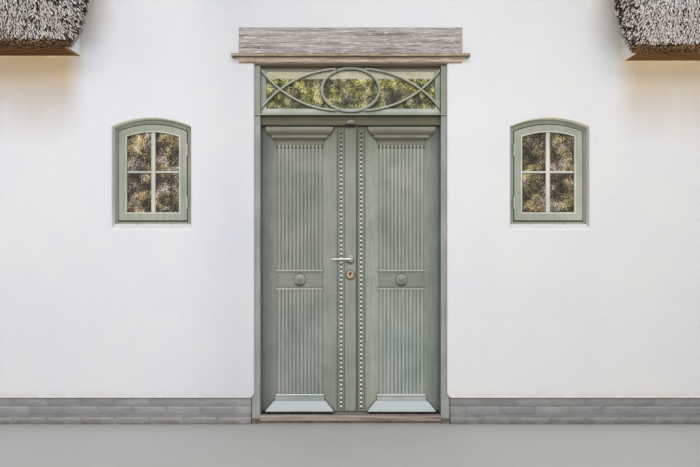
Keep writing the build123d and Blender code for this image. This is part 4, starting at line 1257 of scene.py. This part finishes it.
weathered_reed = make_reed_finish("weathered_reed", shade(18, 13, 9), shade(104, 92, 82),
                                  shade(232, 224, 220), shade(255, 252, 250))
sheltered_reed = make_reed_finish("sheltered_reed", shade(52, 34, 20), shade(96, 68, 42),
                                  shade(136, 100, 66), shade(176, 142, 104))
# Painted shade: the core is nearly black.
thatch_depth_shade = speckled_finish("thatch_depth_shade", 0.95, 1.0, 5, shade(16, 11, 8), shade(56, 46, 38),
                               grain=(130, 20, 20), coarseness=0.6, relief=(0.9, 0.01))
print("reed finishes:", weathered_reed.name, "and", sheltered_reed.name)


# %% Places for the reeds
def scattered(triangles, spacing, rng):
    """Points spread evenly over triangles by area, with each point's normal."""
    areas = np.array([(b - a).cross(c - a).length / 2 for (a, b, c), _ in triangles])
    count = int(areas.sum() / spacing ** 2)
    chosen = rng.choice(len(areas), count, p=areas / areas.sum())
    for index, (first, second) in zip(chosen, rng.random((count, 2))):
        (a, b, c), normal = triangles[index]
        root = sqrt(first)
        yield a * (1 - root) + b * (root * (1 - second)) + c * (root * second), normal


def lap_line(triangles):
    """Straight line for the lap's edge: its distance from the middle at each height."""
    points = [vert for corners, _ in triangles for vert in corners]
    return np.polyfit([point.z for point in points], [abs(point.x) for point in points], 1)


# %% Reeds
fan_reach, shade_reach = 0.45, 0.13


def reed_coat(name, triangles, way, line, slope, spacing, length, radius, dimming, sinking):
    """Reeds that end at the coat's outer face, or a little below it, and run back into it."""
    rng = np.random.default_rng(11 + way)
    template = bmesh.new()
    bmesh.ops.create_cone(template, cap_ends=True, segments=3, radius1=1.0, radius2=1.0, depth=1.0,
                          matrix=Matrix.Translation((0, 0, -0.5)))
    placements, tones = [], []
    for place, normal in scattered(triangles, spacing, rng):
        beyond = abs(place.x) - np.polyval(line, place.z)
        fan = min(max(1 - beyond / fan_reach, 0), 1)
        lean = rng.normal(0, 0.24, 3)
        direction = Vector((lean[0] - way * (0.12 + 0.6 * fan ** 1.5),
                            -cos(slope) + lean[1], -sin(slope) + lean[2]))
        if normal.z > 0.4 or normal.z < -0.55:
            direction -= normal * (direction.dot(normal) - 0.12)
        direction.normalize()
        rank = rng.uniform(0, 1)
        sunk = rank * reed_stand * sinking
        turn = direction.to_track_quat("Z", "Y").to_matrix().to_4x4()
        thickness = radius * rng.uniform(0.7, 1.25)
        reach_back = length * rng.uniform(0.8, 1.3)
        placements.append(Matrix.Translation(place - normal * sunk) @ turn
                          @ Matrix.Diagonal((thickness, thickness, reach_back, 1)))
        near_lap = min(max(1 - beyond / shade_reach, 0), 1)
        # Painted shade: reeds sunk deeper and reeds near the lap take darker tones.
        tone = rng.normal(1.26 + 0.16 * way, 0.22) - 1.28 * rank
        tones.append(min(max(tone - dimming - (0.36 + 0.16 * way) * near_lap, 0), 1))
    return joined_copies(template, placements, tones, name, (cad_low, cad_high))


# %% Reeds on both coats
roof_slope, cut_slope = radians(50), radians(64)
coat_parts = {
    "butt": dict(slope=cut_slope, spacing=0.0076, length=0.030, radius=0.0035, dimming=0, sinking=0.8),
    "lap": dict(slope=cut_slope, spacing=0.0080, length=0.030, radius=0.0035, dimming=0.1, sinking=0.8),
    "underside": dict(slope=roof_slope, spacing=0.009, length=0.024, radius=0.0034, dimming=0, sinking=0.8),
    "slope": dict(slope=roof_slope, spacing=0.011, length=0.12, radius=0.0046, dimming=0.05, sinking=0.35),
}
for side, way in ways.items():
    parts = thatch_core(f"{side}_thatch", way, thatch_depth_shade)
    line = lap_line(parts["lap"])
    for part, reeds in coat_parts.items():
        finish = sheltered_reed if part == "underside" else weathered_reed
        show(reed_coat(f"{side}_{part}_reeds", parts[part], way, line, **reeds), finish)

# %% [markdown]
# ## Battens under the eaves
# A thin batten closes the corner between the wall and the brown soffit boards; it is painted
# very pale, partly its own pale wood and partly painted light on its edge under the eaves.
# Each is one planed strip, eased along its edges.

# %% Battens
batten_size = 0.011

soffit = nodes["soffit_boards"]
battens = bmesh.new()
for way in ways.values():
    level = min((soffit.matrix_world @ vert.co).z for vert in soffit.data.vertices if vert.co.x * way > 0)
    low_x, high_x = span(way, raised_front_half + 0.001, cad_high.x - 0.001)
    strip = block(battens, (low_x, wall_face - batten_size, level - batten_size),
                  (high_x, wall_face - 0.0003, level))
    rounded(battens, strip, 0.0015)
# Painted very pale, partly as light on the batten's edge under the eaves.
pale_lit_batten = make_bare_wood("pale_lit_batten", shade(236, 206, 158), shade(252, 228, 186),
                             shade(255, 242, 214), grain=(3, 40, 40), cracks=0.2)
piece_from(battens, "soffit_battens", pale_lit_batten)

# %% [markdown]
# ## Beads on the meeting stiles
# Each bead strip holds one row of turned beads. One small sphere is repeated at the real
# pitch, from the foot of the strip to its head, and rides on its own leaf. The beads' crowns
# are painted pale as highlights, the beads near the transom darker as painted shade, and the
# hollows between them are painted dark as shade. They are real shapes, as each one catches
# its own spark of light.

# %% Beads
bead_radius, bead_depth = 0.0103, 0.0045

# Painted highlights on the beads' crowns and painted shade on the beads near the transom.
bead_paint = make_sage("beads", upright_grain, (1.8, 1.75, 1.78), dirt_and_shade_share=1.0,
                       crown=shade(246, 249, 244))
tinted_where(bead_paint, under_transom, (0.3, 0.3, 0.24))
for side in ways:
    low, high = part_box(f"{side}_bead_strip")
    pitch = (high.z - low.z) / bead_count
    bead = bmesh.new()
    bmesh.ops.create_icosphere(bead, subdivisions=2, radius=1.0)
    places = [Matrix.Translation(((low.x + high.x) / 2, low.y + bead_depth, low.z + (step + 0.5) * pitch))
              @ Matrix.Diagonal((bead_radius, bead_radius * 0.8, bead_radius * 1.18, 1))
              for step in range(bead_count)]
    mesh = joined_copies(bead, places, [0.5] * bead_count, f"{side}_beads")
    show(mesh, bead_paint, f"{side}_door", smooth=True)
print("beads:", 2 * bead_count)

# %% [markdown]
# ## Brush seal
# The leaves need a few millimetres between them to swing. In a real door a strip of dark
# brush in the edge of one leaf closes that joint, and gives way as the other leaf passes.

# %% Seal
left_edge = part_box("left_leaf")[1].x
right_edge, leaf_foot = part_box("right_leaf")[0].x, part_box("right_leaf")[0].z
seal_front, seal_back = 104, 116

felt = speckled_finish("dark_felt", 0.95, 1.0, 2, shade(82, 84, 70), shade(112, 114, 98),
                       grain=(500, 500, 900), relief=(0.6, 0.001))
seal = bmesh.new()
strip = block(seal, at(left_edge + 0.0006, seal_front, leaf_foot + 0.001),
              at(right_edge - 0.0002, seal_back, leaf_head - 0.001))
rounded(seal, strip, 0.0015, 2)
piece_from(seal, "brush_seal", felt, "right_door")

# %% [markdown]
# ## Fanlight tracery
# The bent bars of the fanlight are moulded, with soft front edges. A copy of the measured
# solid is inset twice at its front, which gives each bar an upper side that catches the
# light and a lower one in shade; the paint adds a painted highlight above and painted shade
# below. A bevel would do the same, but it fails where many short edges meet.

# %% Tracery
bar_steps = ((0.0014, 0.0028), (0.0030, 0.0014))

tracery = bmesh.new()
tracery.from_mesh(nodes["fanlight_tracery"].data)
bmesh.ops.remove_doubles(tracery, verts=tracery.verts, dist=0.0002)
tracery_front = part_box("fanlight_tracery")[0].y
front_faces = [face for face in tracery.faces if face.calc_center_median().y < tracery_front + 0.0001]
for vert in {vert for face in front_faces for vert in face.verts}:
    vert.co.y += sum(rise for _, rise in bar_steps)
for inwards, rise in bar_steps:
    bmesh.ops.inset_region(tracery, faces=front_faces, thickness=inwards, depth=rise, use_boundary=True,
                           use_even_offset=True)
# Painted highlight on what looks up and painted shade on what looks down.
tracery_paint = make_sage("tracery", level_grain, (0.95, 0.93, 0.88), crown=shade(214, 216, 204),
                          under=shade(70, 68, 50))
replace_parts(piece_from(tracery, "eased_tracery", tracery_paint), "fanlight_tracery")

# %% [markdown]
# ## Glazing bars
# Each small window is divided into four panes by one wide upright and one thin cross bar.
# A real bar is moulded: a flat nose between two hollows. A block is bevelled on its front
# edges for that, and the upright runs up into the arch of the casement.

# %% Glazing bars
upright_half, cross_half = 0.0155, 0.0085
light_middle, cross_reach, cross_level = 1.405, 0.19, 1.776
bar_depths = (72, 88)


def glazing_bar(bm, low, high, ease):
    """Bar between two corners with its two long front edges bevelled."""
    verts = block(bm, low, high)
    front_y = min(vert.co.y for vert in verts)
    axis = 2 if high[2] - low[2] > high[0] - low[0] else 0
    edges = [edge for edge in edges_at(verts)
             if all(abs(vert.co.y - front_y) < 1e-6 for vert in edge.verts)
             and abs(edge.verts[0].co[axis] - edge.verts[1].co[axis]) > 0.1]
    eased(bm, edges, ease, 3)


beads_low, beads_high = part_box("glazing_beads")
for side, way in ways.items():
    middle = way * light_middle
    bars = bmesh.new()
    glazing_bar(bars, at(middle - upright_half, bar_depths[0], beads_low.z - 0.004),
                at(middle + upright_half, bar_depths[1], beads_high.z + 0.012), 0.008)
    glazing_bar(bars, at(middle - cross_reach, bar_depths[0] + 3, cross_level - cross_half),
                at(middle + cross_reach, bar_depths[1], cross_level + cross_half), 0.005)
    piece_from(bars, f"{side}_glazing_bars", bar_paint)

# %% [markdown]
# ## Window hinges and pegs
# A painted lift-off hinge shows as two long knuckles on the door side of each casement.
# Under each frame two short dark pegs lead the water out over the sill.

# %% Window hinges
knuckle_radius, knuckle_length, knuckle_share = 0.0062, 0.086, 0.49
hinge_levels = (1.934, 1.556)
hinge_depth, hinge_back = 60, 70.5

for side, way in ways.items():
    hinge_x = way * (casement_low.x - 0.0015)
    hinges = bmesh.new()
    for level in hinge_levels:
        for foot in (-0.5, 0.01):
            cylinder(hinges, knuckle_radius, knuckle_length * knuckle_share,
                     at(hinge_x, hinge_depth, level + foot * knuckle_length), (0, 0, 1), 14)
        for end in (-1, 1):
            cylinder(hinges, knuckle_radius * 0.7, 0.004,
                     at(hinge_x, hinge_depth, level + end * knuckle_length / 2), (0, 0, end), 14,
                     knuckle_radius * 0.35)
        block(hinges, at(hinge_x - 0.003, hinge_depth, level - knuckle_length * 0.45),
              at(hinge_x + 0.003, hinge_back, level + knuckle_length * 0.45))
    piece_from(hinges, f"{side}_window_hinges", bar_paint)

# %% Pegs
peg_radius, peg_tip, peg_length = 0.0048, 0.0036, 0.022
peg_places, peg_depth, peg_level = (1.271, 1.521), 74, 1.4085

pegs = bmesh.new()
for way, peg_x in product(ways.values(), peg_places):
    start = at(way * peg_x, peg_depth, peg_level)
    cylinder(pegs, peg_radius, peg_length, start, (0, -0.8, -0.6), 10, peg_tip)
dark_iron = make_metal("dark_iron", shade(92, 90, 88), 0.5, shade(30, 28, 26))
piece_from(pegs, "window_pegs", dark_iron)

# %% [markdown]
# ## Nails, staples, rose rim and keyhole
# Two nails hold the lintel, their heads sunk in dark rust holes. Two small staples sit on
# the jamb of the right leaf. A thin rim of wire runs round the lever's rose. The lock's
# escutcheon carries a pear-shaped guide with a keyhole, made from a disc and a barrel; the
# keyhole is painted near black, as the shade inside a hole.

# %% Nails
nail_places = ((-0.643, 2.633), (0.644, 2.631))
hole_depth, head_depth, head_height = -11.9, -13.0, 0.0012

nails = bmesh.new()
for nail_x, nail_z in nail_places:
    cylinder(nails, 0.0058, head_height, at(nail_x, hole_depth, nail_z), (0, -1, 0), 10, 0.0046)
    cylinder(nails, 0.0034, head_height, at(nail_x, head_depth, nail_z), (0, -1, 0), 8, 0.0022)
rust = speckled_finish("rusty_iron", 0.85, 300, 3, shade(38, 30, 26), shade(74, 52, 40), (0.4, 0.62),
                       relief=(0.5, 0.001))
piece_from(nails, "lintel_nails", rust)

# %% Staples
jamb_side, staple_levels = 0.635, (1.052, 0.925)
plate_half, plate_depths = 0.026, (76, 96)
staple_wire, ring_rise, ring_depths = 0.0022, 0.012, (80, 86)

staples = bmesh.new()
for level in staple_levels:
    plate = block(staples, at(jamb_side - 0.0016, plate_depths[0], level - plate_half),
                  at(jamb_side - 0.0001, plate_depths[1], level + plate_half))
    rounded(staples, plate, 0.0005)
    start, centre = (at(jamb_side - 0.001, depth, level + ring_rise) for depth in ring_depths)
    section_place = Matrix.Translation(start) @ Matrix.Rotation(radians(90), 4, "Y")
    swept_wire(staples, staple_wire, section_place, centre, (0, 0, 1), 180, 10)
piece_from(staples, "jamb_staples", hinge_steel)

# %% Rose rim
rim_radius, rim_wire = 0.0238, 0.0019

rose_middle = middle_of("handle_roses")
rim_centre = Vector((rose_middle.x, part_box("handle_roses")[0].y + 0.0002, rose_middle.z))
rim = bmesh.new()
section_place = Matrix.Translation(rim_centre + Vector((rim_radius, 0, 0)))
swept_wire(rim, rim_wire, section_place, rim_centre, (0, 1, 0), 360, 32)
bmesh.ops.remove_doubles(rim, verts=rim.verts, dist=0.00005)
piece_from(rim, "rose_rim", lever_steel, "left_door", smooth=True)

# %% Key guide and keyhole
guide_radius, guide_tip, guide_stand = 0.0175, 0.0162, 0.0016
hole_radius, hole_tip, hole_stand, hole_rise = 0.0088, 0.0084, 0.0006, 0.0065
slot_half, slot_foot, slot_head = 0.0026, -0.009, 0.004

lock_x, _, lock_z = middle_of("lock_escutcheon")
lock_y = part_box("lock_escutcheon")[0].y
guide_y = lock_y - guide_stand
guide, hole = bmesh.new(), bmesh.new()
cylinder(guide, guide_radius, guide_stand, (lock_x, lock_y, lock_z), (0, -1, 0), 28, guide_tip)
cylinder(hole, hole_radius, hole_stand, (lock_x, guide_y, lock_z + hole_rise), (0, -1, 0), 18, hole_tip)
block(hole, (lock_x - slot_half, guide_y - hole_stand, lock_z + slot_foot),
      (lock_x + slot_half, guide_y, lock_z + slot_head))
tarnished_brass = make_metal("tarnished_brass", shade(138, 108, 70), 0.42, shade(84, 54, 26))
# Painted shade: the keyhole is near black.
hollow_shade = speckled_finish("keyhole_dark", 1.0, 400, 2, shade(20, 13, 8), shade(34, 24, 16), (0.4, 0.6))
piece_from(guide, "key_guide", tarnished_brass, "left_door")
piece_from(hole, "keyhole", hollow_shade, "left_door")
